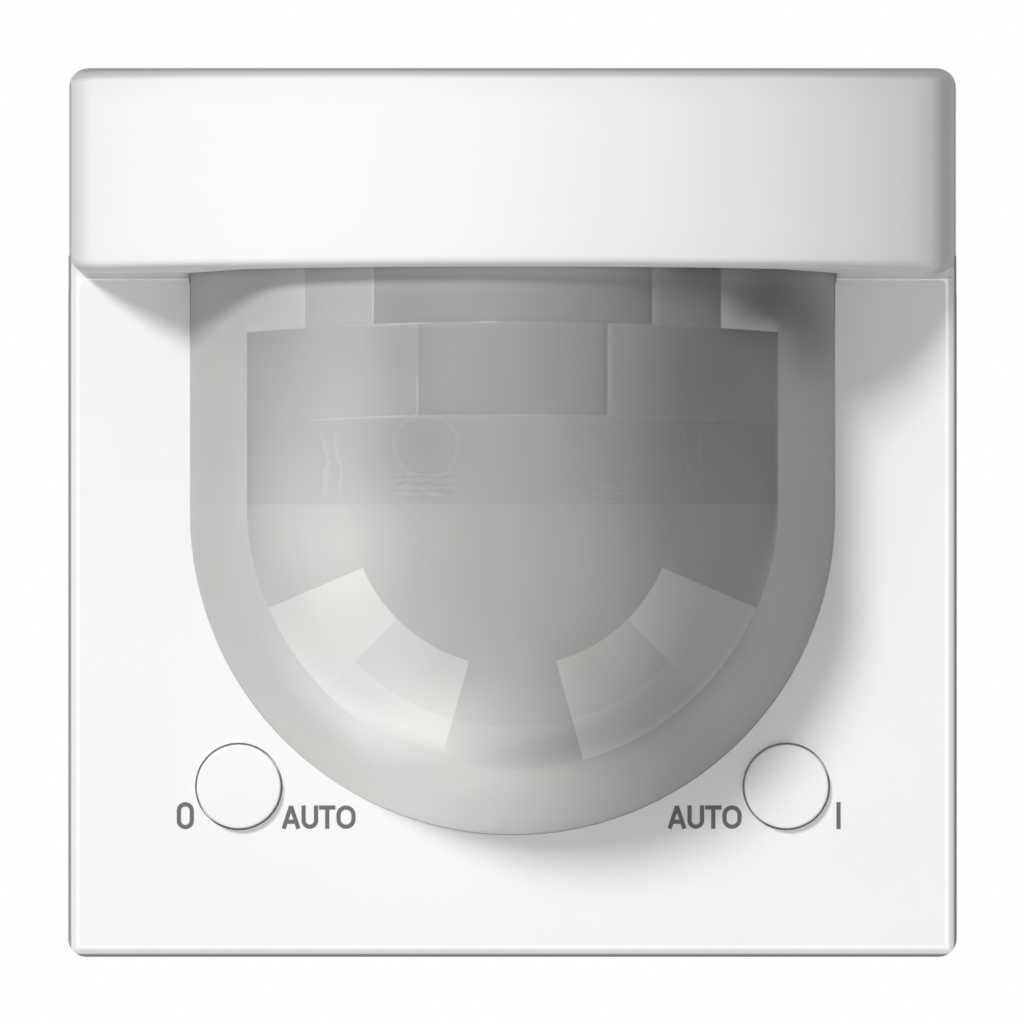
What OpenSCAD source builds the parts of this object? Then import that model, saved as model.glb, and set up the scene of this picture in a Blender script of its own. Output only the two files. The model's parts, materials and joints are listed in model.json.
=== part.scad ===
// Motion sensor light switch: a sensor head that plugs onto a flush relay insert.
// Sizes are in millimetres. The pieces are drawn face up: x runs to the right, y up the
// wall and z out of the wall, with z = 0 on the wall. stand() then turns the front to -Y.

/* [Front plate] */
// Width and height of the whole front
plate_side = 70; // [68:0.5:80]
// Height of the plate's face above the wall
face_height = 13.5; // [13:0.1:16]
// Thickness of the plate and of its skirt
plate_wall = 2; // [1.4:0.1:2.2]
// Corner radius of the front's outline
plate_corner = 1.5; // [1:0.1:3]
// Rounding of the plate's front edges
plate_edge = 0.75; // [0.3:0.05:1]
// Upper edge of the plate, measured up from the centre
plate_top = 18.5; // [17:0.1:20]
// Joint line between the plate and the hood
parting_gap = 0.35; // [0.2:0.05:0.6]
// Depth of that joint line, down to the plate's tongue behind it
parting_depth = 0.45; // [0.3:0.05:0.9]

/* [Hood] */
// Rise of the hood above the plate at the middle
hood_rise = 20.5; // [19:0.1:24]
// Rise of the hood above the plate at its two ends
hood_end_rise = 0.85; // [0.4:0.05:2]
// Wall of the hood
hood_wall = 1.8; // [1.4:0.1:2]
// Rounding of the hood's long edges
hood_edge = 0.8; // [0.3:0.1:1.2]
// Rounding of the hood's two ends
hood_end_round = 11; // [9:0.5:13]
// Depth of the hood's rim in front of the lens
hood_lip = 2.5; // [2.3:0.1:3.5]

/* [Lens] */
// Width of the plate left on each side of the lens
lens_margin = 9.7; // [9.2:0.1:11]
// Width of the plain border round the field of segments
border_w = 4.5; // [4:0.1:6]
// Height of the segment field's rim above the plate
border_rise = 11.7; // [10:0.1:13]
// Wall of the lens
lens_wall = 1.2; // [0.8:0.1:1.6]
// Depth of the lines between the segments
groove_depth = 0.2; // [0.1:0.05:0.3]
// Width of the lines between the segments
groove_width = 0.3; // [0.2:0.05:0.5]
// Width of the outer ring of segments
outer_band = 3.5; // [2.5:0.1:4.5]
// Width of the inner ring of segments
inner_band = 4.7; // [3.5:0.1:5.5]

/* [Buttons] */
// Diameter of a button's cap
button_d = 6.5; // [5:0.1:7]
// Width of the plate left between the lens and a button's cap
button_clear = 1.93; // [1.4:0.01:3]
// Height of a cap above the plate
button_proud = 0.7; // [0.6:0.05:1.2]
// Travel of a button
button_travel = 0.5; // [0.2:0.05:0.6]
// Gap round a button's cap
button_gap = 0.2; // [0.15:0.05:0.4]

/* [Sensor board] */
// Thickness of both circuit boards
board_t = 1.6; // [1:0.1:1.7]
// Tilt of the two detectors to the left and to the right
detector_tilt = 35; // [20:1:40]
// Diameter of a detector's can
detector_d = 8.2; // [7:0.1:8.5]
// Diameter of the adjusters' ends
adjuster_d = 4; // [3:0.1:4.4]
// Spacing of the three adjusters
adjuster_pitch = 14; // [11:0.5:16]

/* [Insert] */
// Spacing of the wall box's screws
box_spacing = 60; // [60:0.1:60.6]
// Width of the screw slots in the support ring
slot_w = 3.6; // [3.2:0.1:4]
// Length of the screw slots
slot_len = 5; // [4.6:0.1:5.4]
// Metal left outside the screw slots
ring_rim = 1.7; // [1.2:0.1:2.2]
// Thickness of the support ring
ring_t = 1.2; // [1:0.1:1.3]
// Depth of the insert behind the wall
insert_depth = 24; // [23.6:0.1:30]
// Diameter of the insert's housing
insert_d = 54; // [53:0.1:55]
// Width of the insert's housing across its flats
insert_flat = 48; // [47.4:0.1:48.6]
// Wall of the insert's housing
insert_wall = 1.6; // [1.2:0.1:1.8]
// Rounding of the housing's rear edges
insert_edge = 1.2; // [0.5:0.1:1.6]
// Spacing of the four wire terminals
terminal_pitch = 6.4; // [6.2:0.1:6.6]

/* [Hidden] */
$fn = 96;

// Clearances
shell_gap = 0.2;
press_gap = 0.05;
turn_gap = 0.12;
seat_gap = 0.1;
plug_gap = 0.4;

// Levels from the wall outwards
flange_t = 1.2;
flange_top = ring_t + flange_t;
base_rear = flange_top + plug_gap;
base_t = 1.4;
base_floor = base_rear + base_t;
pad_h = 0.4;
board_rear = base_floor + pad_h;
board_front = board_rear + board_t;
base_rim = board_front + 1.6;
skirt_rear = base_rear + 0.2;
plate_back = face_height - plate_wall;

// Front outline
half = plate_side / 2;
hood_low = plate_top + parting_gap;
hood_sag = hood_rise - hood_end_rise;
hood_r = (half * half + hood_sag * hood_sag) / (2 * hood_sag);
hood_apex = face_height + hood_rise;
hood_axis = hood_apex - hood_r;
tongue_front = face_height - parting_depth;
tongue_t = 1.2;
tongue_reach = 1.2;

// Level of the end rounding's centre: it meets the curved front at end_angle
end_angle = 64;
end_x = half - hood_end_round * (1 - sin(end_angle));
end_level = hood_axis + sqrt(hood_r * hood_r - end_x * end_x) - hood_end_round * cos(end_angle);

// Lens
lens_half = half - lens_margin;
optic_half = lens_half - border_w;
ring_outer = optic_half - outer_band;
ring_inner = ring_outer - inner_band;
lens_rise = hood_rise - hood_lip;
optic_sag = lens_rise - border_rise;
optic_r = (optic_half * optic_half + optic_sag * optic_sag) / (2 * optic_sag);
optic_axis = face_height + lens_rise - optic_r;
lens_top = hood_low + hood_wall + 0.8;
optic_rows = [0.6, 7.6, 14.9];
row_ends = concat(optic_rows, lens_top - 0.6);
lens_flange = 2;
lens_flange_t = 1.2;
lens_flange_top = plate_top - 3;
fan_angles = [23, 45, 74.5];

// Upright lines in each of the three rows of segments, measured from the middle
row_cuts = [
    [0, optic_half - 6.4],
    [7.5],
    [optic_half - 9.8, optic_half - 4.4]
];

// Buttons and their switches
button_r = button_d / 2;
button_at = (lens_half + button_clear + button_r) / sqrt(2);
button_flange_r = button_r + 0.65;
button_flange_t = 1.1;
button_shoulder = plate_back - seat_gap;
button_rear = button_shoulder - button_flange_t;
plunger_r = 1.75;
plunger_rise = button_travel + 0.4;
switch_top = button_rear - plunger_rise;
switch_w = 6;
switch_floor = board_front + 0.6;
plunger_rear = switch_floor + button_travel + 0.2;

// Base, boards and screws
base_half = half - max(plate_wall, hood_wall) - shell_gap;
base_wall = 1.4;
boss_r = 2.5;
boss_at = base_half - base_wall - boss_r - 0.6;
cover_pilot_r = 1.05;
cover_shank_r = 1;
cover_head_r = 2;
cover_head_t = 1.2;
cover_grip = 5;
board_half = base_half - base_wall - 1;
pad_inset = 6;
pad_at = board_half - pad_inset;

// Adjusters
adjuster_r = adjuster_d / 2;
adjuster_neck = adjuster_r - 0.6;
adjuster_case = 7;
adjuster_case_t = 3.6;
adjuster_y = board_half - adjuster_case / 2 - 0.9;

// Plug between the head and the insert
plug_y = -6;
plug_pitch = 2.54;
plug_w = 14;
plug_h = 6;
header_rear = base_rear - 0.5;
socket_front = header_rear - 0.3;
pin_w = 0.64;
pin_reach = 5;
leg_at = 17.5;
leg_w = 6;
leg_t = 2;
leg_rear = -3;

// Insert
insert_r = insert_d / 2;
insert_half = insert_flat / 2;
ring_gap = 0.2;
ring_side = box_spacing + slot_len + 2 * ring_rim;
ring_corner = ring_side * 1.24;
ring_screw_at = (insert_r + 2.5) / sqrt(2);
ring_screw_r = 1.1;
ring_head_r = 2.1;
ring_head_t = 1;
insert_rear = -insert_depth;
insert_floor = insert_rear + insert_wall;
power_front = -5;
power_rear = power_front - board_t;
inner_r = insert_r - insert_wall;
inner_half = insert_half - insert_wall;

// Pieces on the power board
relay_w = 20;
relay_d = 10.4;
relay_gap = 0.6;
part_gap = 2;
part_row = 2.8;
film_w = 17.6;
film_d = 7.6;
film_h = 13;
capacitor_d = 10;
capacitor_h = 12;
varistor_d = 10;
varistor_t = 4;
post_r = 2;

// Pieces on the sensor board
chip_w = 7;
chip_t = 1.2;
chip_x = 6;
lamp_d = 3;
lamp_h = 2.6;
lamp_brim = 0.4;
lamp_brim_t = 0.8;
lamp_y = -18;
cell_y = -12;

// Terminals
terminal_xs = [for (i = [-1.5, -0.5, 0.5, 1.5]) i * terminal_pitch];
terminal_top = -11.6;
terminal_screw_y = -17;
clamp_w = 4.8;
clamp_front = -10;
clamp_rear = clamp_front - 5.2;
wire_w = 3.4;
wire_z = (clamp_front + clamp_rear) / 2;
clamp_bite = 1.4;
terminal_head_r = 1.75;
terminal_head_t = 1.8;
terminal_recess = 0.2;
terminal_slot = 0.7;
terminal_shank_r = 1.2;
terminal_head_rear = insert_floor + terminal_recess;
terminal_access_r = 1.9;

// Turns a piece drawn face up so that its front looks along -Y
module stand() {
    rotate([90, 0, 0])
        children();
}

// Rectangle with rounded corners
module soft_rect(x0, y0, x1, y1, r) {
    translate([x0 + r, y0])
        square([x1 - x0 - 2 * r, y1 - y0]);
    translate([x0, y0 + r])
        square([x1 - x0, y1 - y0 - 2 * r]);
    for (x = [x0 + r, x1 - r], y = [y0 + r, y1 - r])
        translate([x, y])
            circle(r);
}

// Rectangle with its two upper corners rounded
module soft_top(x0, y0, x1, y1, r) {
    translate([x0, y0])
        square([x1 - x0, y1 - y0 - r]);
    translate([x0 + r, y0])
        square([x1 - x0 - 2 * r, y1 - y0]);
    for (x = [x0 + r, x1 - r])
        translate([x, y1 - r])
            circle(r);
}

// Rectangle with its two lower corners rounded
module soft_foot(x0, y0, x1, y1, r) {
    translate([x0, y0 + r])
        square([x1 - x0, y1 - y0 - r]);
    translate([x0 + r, y0])
        square([x1 - x0 - 2 * r, y1 - y0]);
    for (x = [x0 + r, x1 - r])
        translate([x, y0 + r])
            circle(r);
}

// Draws a shape given in x and z, running from y0 to y1
module along_y(y0, y1) {
    translate([0, y1, 0])
        rotate([90, 0, 0])
            linear_extrude(y1 - y0)
                children();
}

// Draws a shape given in y and z, running from x0 to x1
module along_x(x0, x1) {
    translate([x0, 0, 0])
        rotate([90, 0, 90])
            linear_extrude(x1 - x0)
                children();
}

// Draws a shape given in x and y, running from z0 to z1
module along_z(z0, z1) {
    translate([0, 0, z0])
        linear_extrude(z1 - z0)
            children();
}

// Box from one corner to the other
module span(a, b) {
    translate(a)
        cube(b - a);
}

// Round rod or hole along z
module rod(x, y, z0, z1, r) {
    translate([x, y, z0])
        cylinder(r = r, h = z1 - z0);
}

// Circle cut off by four flats
module flatted(r, flat) {
    intersection() {
        circle(r);
        square(2 * flat, center = true);
    }
}

// Outline of the lens on the plate: a half circle with straight sides running up
module u_shape(r, top) {
    circle(r);
    translate([-r, 0])
        square([2 * r, top]);
}

// Height of an arc about the optical axis
function arc_z(r, x) = optic_axis + sqrt(r * r - x * x);

// Cross-section of the lens in x and z, grown by g on every side
module lens_section(g) {
    w = lens_half + g;
    o = optic_half + g;
    top = arc_z(optic_r + g, o);
    polygon([
        [-w, plate_back - lens_flange_t], [w, plate_back - lens_flange_t],
        [w, face_height], [o, top], [-o, top], [-w, face_height]
    ]);
    intersection() {
        translate([0, optic_axis])
            circle(optic_r + g);
        translate([-o, top - 0.5])
            square([2 * o, lens_rise]);
    }
}

// Turns the right half of a section round the lower end of the lens
module round_end() {
    rotate([0, 0, 180])
        rotate_extrude(angle = 180)
            intersection() {
                children();
                square([4 * half, 4 * half]);
            }
}

// Wall of the lens in x and z
module lens_shell() {
    difference() {
        lens_section(0);
        lens_section(-lens_wall);
        translate([-lens_half + lens_wall, plate_back - lens_flange_t - 1])
            square([2 * (lens_half - lens_wall), 2]);
    }
}

// Thin skin of the segment field in x and z
module optic_skin() {
    intersection() {
        difference() {
            translate([0, optic_axis])
                circle(optic_r + 1);
            translate([0, optic_axis])
                circle(optic_r - groove_depth);
        }
        translate([-optic_half + 0.5, face_height])
            square([2 * optic_half - 1, 2 * lens_rise]);
    }
}

// Upright wall over a line from a to b, used to cut one line between segments
module cut_line(a, b) {
    d = b - a;
    translate([a[0], a[1], face_height])
        rotate([0, 0, atan2(d[1], d[0])])
            translate([0, -groove_width / 2, 0])
                cube([norm(d), groove_width, 2 * lens_rise]);
}

// Round wall over a ring of segments
module cut_ring(r) {
    difference() {
        rod(0, 0, face_height, face_height + 2 * lens_rise, r + groove_width / 2);
        rod(0, 0, face_height - 1, face_height + 2 * lens_rise + 1, r - groove_width / 2);
    }
}

// Lines of the lower fan of segments
module fan_lines() {
    intersection() {
        round_end()
            optic_skin();
        union() {
            cut_ring(ring_inner);
            cut_ring(ring_outer);
            for (a = fan_angles, s = [-1, 1])
                cut_line(
                    ring_inner * [s * cos(a), -sin(a)],
                    optic_half * [s * cos(a), -sin(a)]
                );
        }
    }
}

// Lines of the upper rows of segments
module row_lines() {
    intersection() {
        along_y(0, lens_top)
            optic_skin();
        union() {
            for (y = optic_rows)
                cut_line([-optic_half, y], [optic_half, y]);
            for (row = [0 : 2], x = row_cuts[row], s = x > 0 ? [-1, 1] : [1])
                cut_line([s * x, row_ends[row]], [s * x, row_ends[row + 1]]);
        }
    }
}

// Steel ring that is screwed to the wall box
module support_ring() {
    color("silver")
        stand()
            difference() {
                along_z(0, ring_t)
                    difference() {
                        intersection() {
                            square(ring_side, center = true);
                            rotate(45)
                                square(ring_corner, center = true);
                        }
                        flatted(insert_r + ring_gap, insert_half + ring_gap);
                    }
                for (a = [0, 90, 180, 270])
                    rotate([0, 0, a])
                        for (x = [-1, 1])
                            rod(
                                box_spacing / 2 + x * (slot_len - slot_w) / 2, 0,
                                -1, ring_t + 1, slot_w / 2
                            );
                for (a = [0, 90, 180, 270])
                    rotate([0, 0, a])
                        span(
                            [(box_spacing - slot_len + slot_w) / 2, -slot_w / 2, -1],
                            [(box_spacing + slot_len - slot_w) / 2, slot_w / 2, ring_t + 1]
                        );
                for (x = [-1, 1], y = [-1, 1])
                    rod(
                        x * ring_screw_at, y * ring_screw_at,
                        -1, ring_t + 1, ring_screw_r + press_gap
                    );
            }
}

// Countersunk screw head and shank that holds the housing to the ring, grown by g
module ring_screw(g) {
    translate([0, 0, flange_top - ring_head_t])
        cylinder(r1 = ring_screw_r + g, r2 = ring_head_r + g, h = ring_head_t);
    rod(0, 0, 0.1 - g, flange_top - ring_head_t, ring_screw_r + g);
}

module ring_screws() {
    color("gainsboro")
        stand()
            for (x = [-1, 1], y = [-1, 1])
                translate([x * ring_screw_at, y * ring_screw_at, 0])
                    difference() {
                        ring_screw(0);
                        span(
                            [-ring_head_r, -0.25, flange_top - 0.4],
                            [ring_head_r, 0.25, flange_top + 1]
                        );
                    }
}

// Outer form of the cup: a drum with four flats, rounded at the rear
module insert_form() {
    intersection() {
        translate([0, 0, insert_rear])
            rotate_extrude()
                intersection() {
                    soft_rect(-insert_r, 0, insert_r, 2 * insert_depth, insert_edge);
                    square(2 * insert_depth + insert_r);
                }
        along_y(-insert_r - 1, insert_r + 1)
            soft_foot(-insert_half, insert_rear, insert_half, ring_t, insert_edge);
        along_x(-insert_r - 1, insert_r + 1)
            soft_foot(-insert_half, insert_rear, insert_half, ring_t, insert_edge);
    }
}

// Cup behind the wall, with a flange that lies on the support ring
module insert_housing() {
    color("dimgray")
        stand()
            difference() {
                union() {
                    difference() {
                        union() {
                            insert_form();
                            along_z(ring_t, flange_top)
                                flatted(insert_r + 5, insert_half + 1.8);
                        }
                        along_z(insert_floor, flange_top + 1)
                            flatted(inner_r, inner_half);
                        along_z(ring_t, flange_top + 1)
                            flatted(inner_r + 0.8, inner_half + 1);
                    }
                    for (x = [-1, 1]) {
                        rod(
                            x * inner_half * 0.58, inner_half - post_r - 1,
                            insert_floor - 0.2, power_rear, post_r
                        );
                        rod(
                            x * (inner_half - post_r - 0.2), -7,
                            insert_floor - 0.2, power_rear, post_r
                        );
                    }
                }
                for (x = [-1, 1], y = [-1, 1])
                    translate([x * ring_screw_at, y * ring_screw_at, 0])
                        ring_screw(press_gap);
                for (x = terminal_xs) {
                    rod(x, terminal_screw_y, insert_rear - 1, insert_floor + 1, terminal_access_r);
                    span(
                        [x - wire_w / 2, -insert_half - 1, wire_z - wire_w / 2],
                        [x + wire_w / 2, -inner_half + 1, wire_z + wire_w / 2]
                    );
                }
                for (y = [0 : 3 : 12])
                    span([-9, y, insert_rear - 1], [9, y + 1.2, insert_floor + 1]);
            }
}

// Lid of the insert, let into the housing's flange
module insert_lid() {
    color("darkgray")
        stand()
            along_z(ring_t, flange_top)
                difference() {
                    flatted(inner_r + 0.8 - seat_gap, inner_half + 1 - seat_gap);
                    translate([-plug_w / 2 - 0.6, plug_y - plug_h / 2 - 0.6])
                        square([plug_w + 1.2, plug_h + 1.2]);
                    for (s = [-1, 1])
                        translate([s * leg_at, 0])
                            square([leg_t + 2 * seat_gap, leg_w + 2 * seat_gap], center = true);
                }
}

module power_board() {
    color("seagreen")
        stand()
            along_z(power_rear, power_front)
                flatted(inner_r - 0.4, inner_half - 0.4);
}

module relay() {
    color("black")
        stand()
            span(
                [-relay_w, part_row, insert_floor + relay_gap],
                [0, part_row + relay_d, power_rear]
            );
}

module power_capacitor() {
    color("navy")
        stand()
            rod(
                -relay_w / 2 + 1, part_row - part_gap - capacitor_d / 2 - 0.8,
                power_rear - capacitor_h, power_rear, capacitor_d / 2
            );
}

module film_capacitor() {
    color("gold")
        stand()
            span(
                [part_gap, part_row + relay_d - film_d, power_rear - film_h],
                [part_gap + film_w, part_row + relay_d, power_rear]
            );
}

module varistor() {
    color("royalblue")
        stand()
            translate([part_gap + film_w / 3, part_row - part_gap, power_rear - varistor_d / 2])
                rotate([90, 0, 0])
                    cylinder(r = varistor_d / 2, h = varistor_t);
}

// Block with one chamber for each wire
module terminal_block() {
    color("whitesmoke")
        stand()
            difference() {
                along_z(insert_floor, power_rear)
                    intersection() {
                        flatted(inner_r - seat_gap, inner_half - seat_gap);
                        translate([-2 * terminal_pitch - 0.6, -insert_half])
                            square([4 * terminal_pitch + 1.2, insert_half + terminal_top]);
                    }
                for (x = terminal_xs) {
                    span(
                        [x - clamp_w / 2 - 0.1, -insert_half, clamp_rear - 0.1],
                        [x + clamp_w / 2 + 0.1, terminal_screw_y + clamp_w / 2 + 0.1,
                            clamp_front + 0.1]
                    );
                    rod(x, terminal_screw_y, insert_rear, clamp_rear, terminal_access_r);
                }
            }
}

// Brass cages that the screws draw onto the wires
module terminal_clamps() {
    color("goldenrod")
        stand()
            for (x = terminal_xs)
                difference() {
                    span(
                        [x - clamp_w / 2, terminal_screw_y - clamp_w / 2, clamp_rear],
                        [x + clamp_w / 2, terminal_screw_y + clamp_w / 2, clamp_front]
                    );
                    span(
                        [x - wire_w / 2, terminal_screw_y - clamp_w, wire_z - wire_w / 2],
                        [x + wire_w / 2, terminal_screw_y + clamp_w, wire_z + wire_w / 2]
                    );
                    rod(
                        x, terminal_screw_y, clamp_rear - 1, wire_z,
                        terminal_shank_r + press_gap
                    );
                }
}

module terminal_screws() {
    color("lightgray")
        stand()
            for (x = terminal_xs)
                difference() {
                    union() {
                        rod(
                            x, terminal_screw_y, terminal_head_rear,
                            terminal_head_rear + terminal_head_t, terminal_head_r
                        );
                        rod(
                            x, terminal_screw_y, terminal_head_rear + terminal_slot,
                            clamp_rear + clamp_bite, terminal_shank_r
                        );
                    }
                    span(
                        [x - 0.3, terminal_screw_y - terminal_head_r, insert_floor],
                        [x + 0.3, terminal_screw_y + terminal_head_r,
                            terminal_head_rear + terminal_slot]
                    );
                }
}

// Places ten pins of the plug
module plug_grid() {
    for (i = [-2 : 2], j = [-0.5, 0.5])
        translate([i * plug_pitch, plug_y + j * plug_pitch, 0])
            children();
}

// Square rod along z about the origin
module square_rod(w, z0, z1) {
    span([-w / 2, -w / 2, z0], [w / 2, w / 2, z1]);
}

module plug_socket() {
    color("black")
        stand()
            difference() {
                span(
                    [-plug_w / 2 - 0.4, plug_y - plug_h / 2 - 0.4, power_front],
                    [plug_w / 2 + 0.4, plug_y + plug_h / 2 + 0.4, socket_front]
                );
                plug_grid()
                    square_rod(pin_w + 0.3, power_front + 0.6, socket_front + 1);
            }
}

// Rear shell of the sensor head: it carries the board and two legs that enter the insert
module base_shell() {
    color("lightgray")
        stand()
            difference() {
                union() {
                    difference() {
                        along_z(base_rear, base_rim)
                            soft_rect(-base_half, -base_half, base_half, base_half, 1.5);
                        along_z(base_floor, base_rim + 1)
                            square(2 * (base_half - base_wall), center = true);
                    }
                    for (x = [-1, 1], y = [-1, 1])
                        rod(x * pad_at, y * pad_at, base_floor - 0.2, board_rear, 2);
                    for (s = [-1, 1])
                        translate([s * leg_at, 0, 0])
                            along_y(-leg_w / 2, leg_w / 2)
                                polygon([
                                    [-leg_t / 2, base_rear + 0.2], [-leg_t / 2, leg_rear + 1],
                                    [-leg_t / 4, leg_rear], [leg_t / 4, leg_rear],
                                    [leg_t / 2, leg_rear + 1], [leg_t / 2, base_rear + 0.2]
                                ]);
                }
                for (x = [-1, 1], y = [-1, 1])
                    rod(
                        x * boss_at, y * boss_at, base_rear - 1, base_floor + 1,
                        cover_shank_r + 0.15
                    );
                for (i = [-1 : 1])
                    rod(
                        i * adjuster_pitch, adjuster_y, base_rear - 1, base_floor + 1,
                        adjuster_r + turn_gap
                    );
                span(
                    [-plug_w / 2 - 0.2, plug_y - plug_h / 2 - 0.2, base_rear - 1],
                    [plug_w / 2 + 0.2, plug_y + plug_h / 2 + 0.2, base_floor + 1]
                );
            }
}

// Front plate: a U round the lens, with a skirt on three sides and a tongue behind the hood
module front_plate() {
    color("white")
        stand()
            difference() {
                union() {
                    difference() {
                        intersection() {
                            along_z(skirt_rear, face_height)
                                soft_rect(-half, -half, half, plate_top, plate_corner);
                            along_y(-half - 1, plate_top + 1)
                                soft_top(-half, skirt_rear - 1, half, face_height, plate_edge);
                            along_x(-half - 1, half + 1)
                                soft_top(-half, skirt_rear - 1, plate_top, face_height, plate_edge);
                        }
                        span(
                            [-half + plate_wall, -half + plate_wall, skirt_rear - 1],
                            [half - plate_wall, plate_top + 1, plate_back]
                        );
                    }
                    for (s = [-1, 1])
                        rod(s * boss_at, -boss_at, base_floor, plate_back + 0.2, boss_r);
                    span(
                        [-half + plate_wall, plate_top - 2.6, plate_back - tongue_t],
                        [half - plate_wall, hood_low + tongue_reach, tongue_front]
                    );
                }
                along_z(skirt_rear - 1, face_height + 1)
                    u_shape(lens_half + seat_gap, half);
                for (s = [-1, 1]) {
                    rod(
                        s * button_at, -button_at, plate_back - 1, face_height + 1,
                        button_r + button_gap
                    );
                    rod(s * boss_at, -boss_at, base_floor - 1, plate_back - 0.6, cover_pilot_r);
                }
            }
}

// Plan of the hood's sides and round ends in x and z, drawn in by d and open to the front
module hood_plan(d) {
    front = end_x - d - 1;
    translate([-half + d, skirt_rear - 1])
        square([2 * (half - d), end_level - skirt_rear + 1]);
    translate([-front, skirt_rear - 1])
        square([2 * front, 2 * hood_apex]);
    for (s = [-1, 1])
        translate([s * (half - hood_end_round), end_level])
            circle(hood_end_round - d);
}

// Outer form of the hood: a drum with rounded rims, cut to the front's outline
module hood_form() {
    intersection() {
        translate([0, hood_low, hood_axis])
            rotate([-90, 0, 0])
                rotate_extrude()
                    intersection() {
                        soft_rect(-hood_r, 0, hood_r, half - hood_low, hood_edge);
                        square([2 * hood_r, half]);
                    }
        along_z(skirt_rear, hood_apex + 1)
            soft_rect(-half, hood_low, half, half, plate_corner);
        along_y(hood_low - 1, half + 1)
            hood_plan(0);
    }
}

// Curved hood over the upper end of the lens
module hood() {
    color("white")
        stand()
            difference() {
                union() {
                    difference() {
                        hood_form();
                        intersection() {
                            translate([0, hood_low + hood_wall, hood_axis])
                                rotate([-90, 0, 0])
                                    cylinder(
                                        r = hood_r - hood_wall,
                                        h = half - hood_low - 2 * hood_wall,
                                        $fn = 192
                                    );
                            along_y(hood_low, half)
                                hood_plan(hood_wall);
                        }
                        span(
                            [-half + hood_wall, hood_low - 1, skirt_rear - 1],
                            [half - hood_wall, hood_low + hood_wall + 0.1, tongue_front + seat_gap]
                        );
                    }
                    intersection() {
                        hood_form();
                        for (s = [-1, 1])
                            rod(s * boss_at, boss_at, base_floor, hood_apex, boss_r);
                    }
                }
                along_y(hood_low - 1, hood_low + hood_wall + 0.1)
                    lens_section(0.25);
                for (s = [-1, 1])
                    rod(s * boss_at, boss_at, base_floor - 1, base_floor + 8, cover_pilot_r);
            }
}

// Milky lens: a dome whose round lower end turns into an upright barrel
module lens() {
    color("lightslategray")
        stand()
            difference() {
                union() {
                    round_end()
                        lens_shell();
                    along_y(0, lens_top)
                        lens_shell();
                    along_z(plate_back - lens_flange_t, plate_back)
                        difference() {
                            u_shape(lens_half + lens_flange, lens_flange_top);
                            u_shape(lens_half - lens_wall, half);
                        }
                }
                for (s = [-1, 1])
                    rod(
                        s * button_at, -button_at, plate_back - lens_flange_t - 1,
                        plate_back + 0.01, button_flange_r + 0.5
                    );
                fan_lines();
                row_lines();
            }
}

// Circuit board of the sensor head
module sensor_board() {
    color("seagreen")
        stand()
            along_z(board_rear, board_front)
                difference() {
                    square(2 * board_half, center = true);
                    for (x = [-1, 1], y = [-1, 1])
                        translate([x * boss_at, y * boss_at])
                            circle(boss_r + 0.6);
                    for (i = [-1 : 1])
                        translate([i * adjuster_pitch, adjuster_y])
                            circle(adjuster_r + 0.3);
                }
}

holder_half = 12;
holder_len = 12;
holder_y = 1;
holder_edge = 0.8;
holder_ridge = 1.5;
holder_top = board_front + holder_edge + (holder_half - holder_ridge) * tan(detector_tilt);

// Roof-shaped block that turns the two detectors outwards
module detector_holder() {
    color("black")
        stand()
            along_y(holder_y - holder_len / 2, holder_y + holder_len / 2)
                polygon([
                    [-holder_half, board_front], [holder_half, board_front],
                    [holder_half, board_front + holder_edge], [holder_ridge, holder_top],
                    [-holder_ridge, holder_top], [-holder_half, board_front + holder_edge]
                ]);
}

// Places a piece on each sloping face of the holder
module on_slopes() {
    for (s = [-1, 1])
        translate([
            s * (holder_half + holder_ridge) / 2, holder_y,
            (board_front + holder_edge + holder_top) / 2
        ])
            rotate([0, s * detector_tilt, 0])
                children();
}

can_h = 4.2;
window_w = 4;
window_h = 3;

// Two metal cans, each with a brim and a window recess
module detector_cans() {
    color("gainsboro")
        stand()
            on_slopes()
                difference() {
                    union() {
                        cylinder(r = detector_d / 2 + 0.5, h = 0.6);
                        cylinder(r = detector_d / 2, h = can_h);
                    }
                    span(
                        [-window_w / 2 - 0.05, -window_h / 2 - 0.05, can_h - 0.4],
                        [window_w / 2 + 0.05, window_h / 2 + 0.05, can_h + 1]
                    );
                }
}

module detector_windows() {
    color("maroon")
        stand()
            on_slopes()
                span(
                    [-window_w / 2, -window_h / 2, can_h - 0.4],
                    [window_w / 2, window_h / 2, can_h - 0.1]
                );
}

// Small domed lamp or light cell standing on the board
module domed(x, y) {
    translate([x, y, board_front]) {
        cylinder(r = lamp_d / 2 + lamp_brim, h = lamp_brim_t);
        cylinder(r = lamp_d / 2, h = lamp_h);
        translate([0, 0, lamp_h])
            sphere(r = lamp_d / 2);
    }
}

module light_sensor() {
    color("lightyellow")
        stand()
            domed(0, cell_y);
}

module status_led() {
    color("red")
        stand()
            domed(0, lamp_y);
}

module controller_chip() {
    color("black")
        stand()
            span(
                [-chip_w - chip_x, cell_y - chip_w / 2, board_front],
                [-chip_x, cell_y + chip_w / 2, board_front + chip_t]
            );
}

// Body of the small key switch under a button
module switch_case(x) {
    stand()
        difference() {
            translate([x, -button_at, 0])
                span(
                    [-switch_w / 2, -switch_w / 2, board_front],
                    [switch_w / 2, switch_w / 2, switch_top]
                );
            rod(x, -button_at, switch_floor, switch_top + 1, plunger_r + turn_gap);
        }
}

module off_switch_case() {
    color("black")
        switch_case(-button_at);
}

module on_switch_case() {
    color("black")
        switch_case(button_at);
}

module off_plunger() {
    color("dimgray")
        stand()
            rod(-button_at, -button_at, plunger_rear, button_rear, plunger_r);
}

module on_plunger() {
    color("dimgray")
        stand()
            rod(button_at, -button_at, plunger_rear, button_rear, plunger_r);
}

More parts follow.
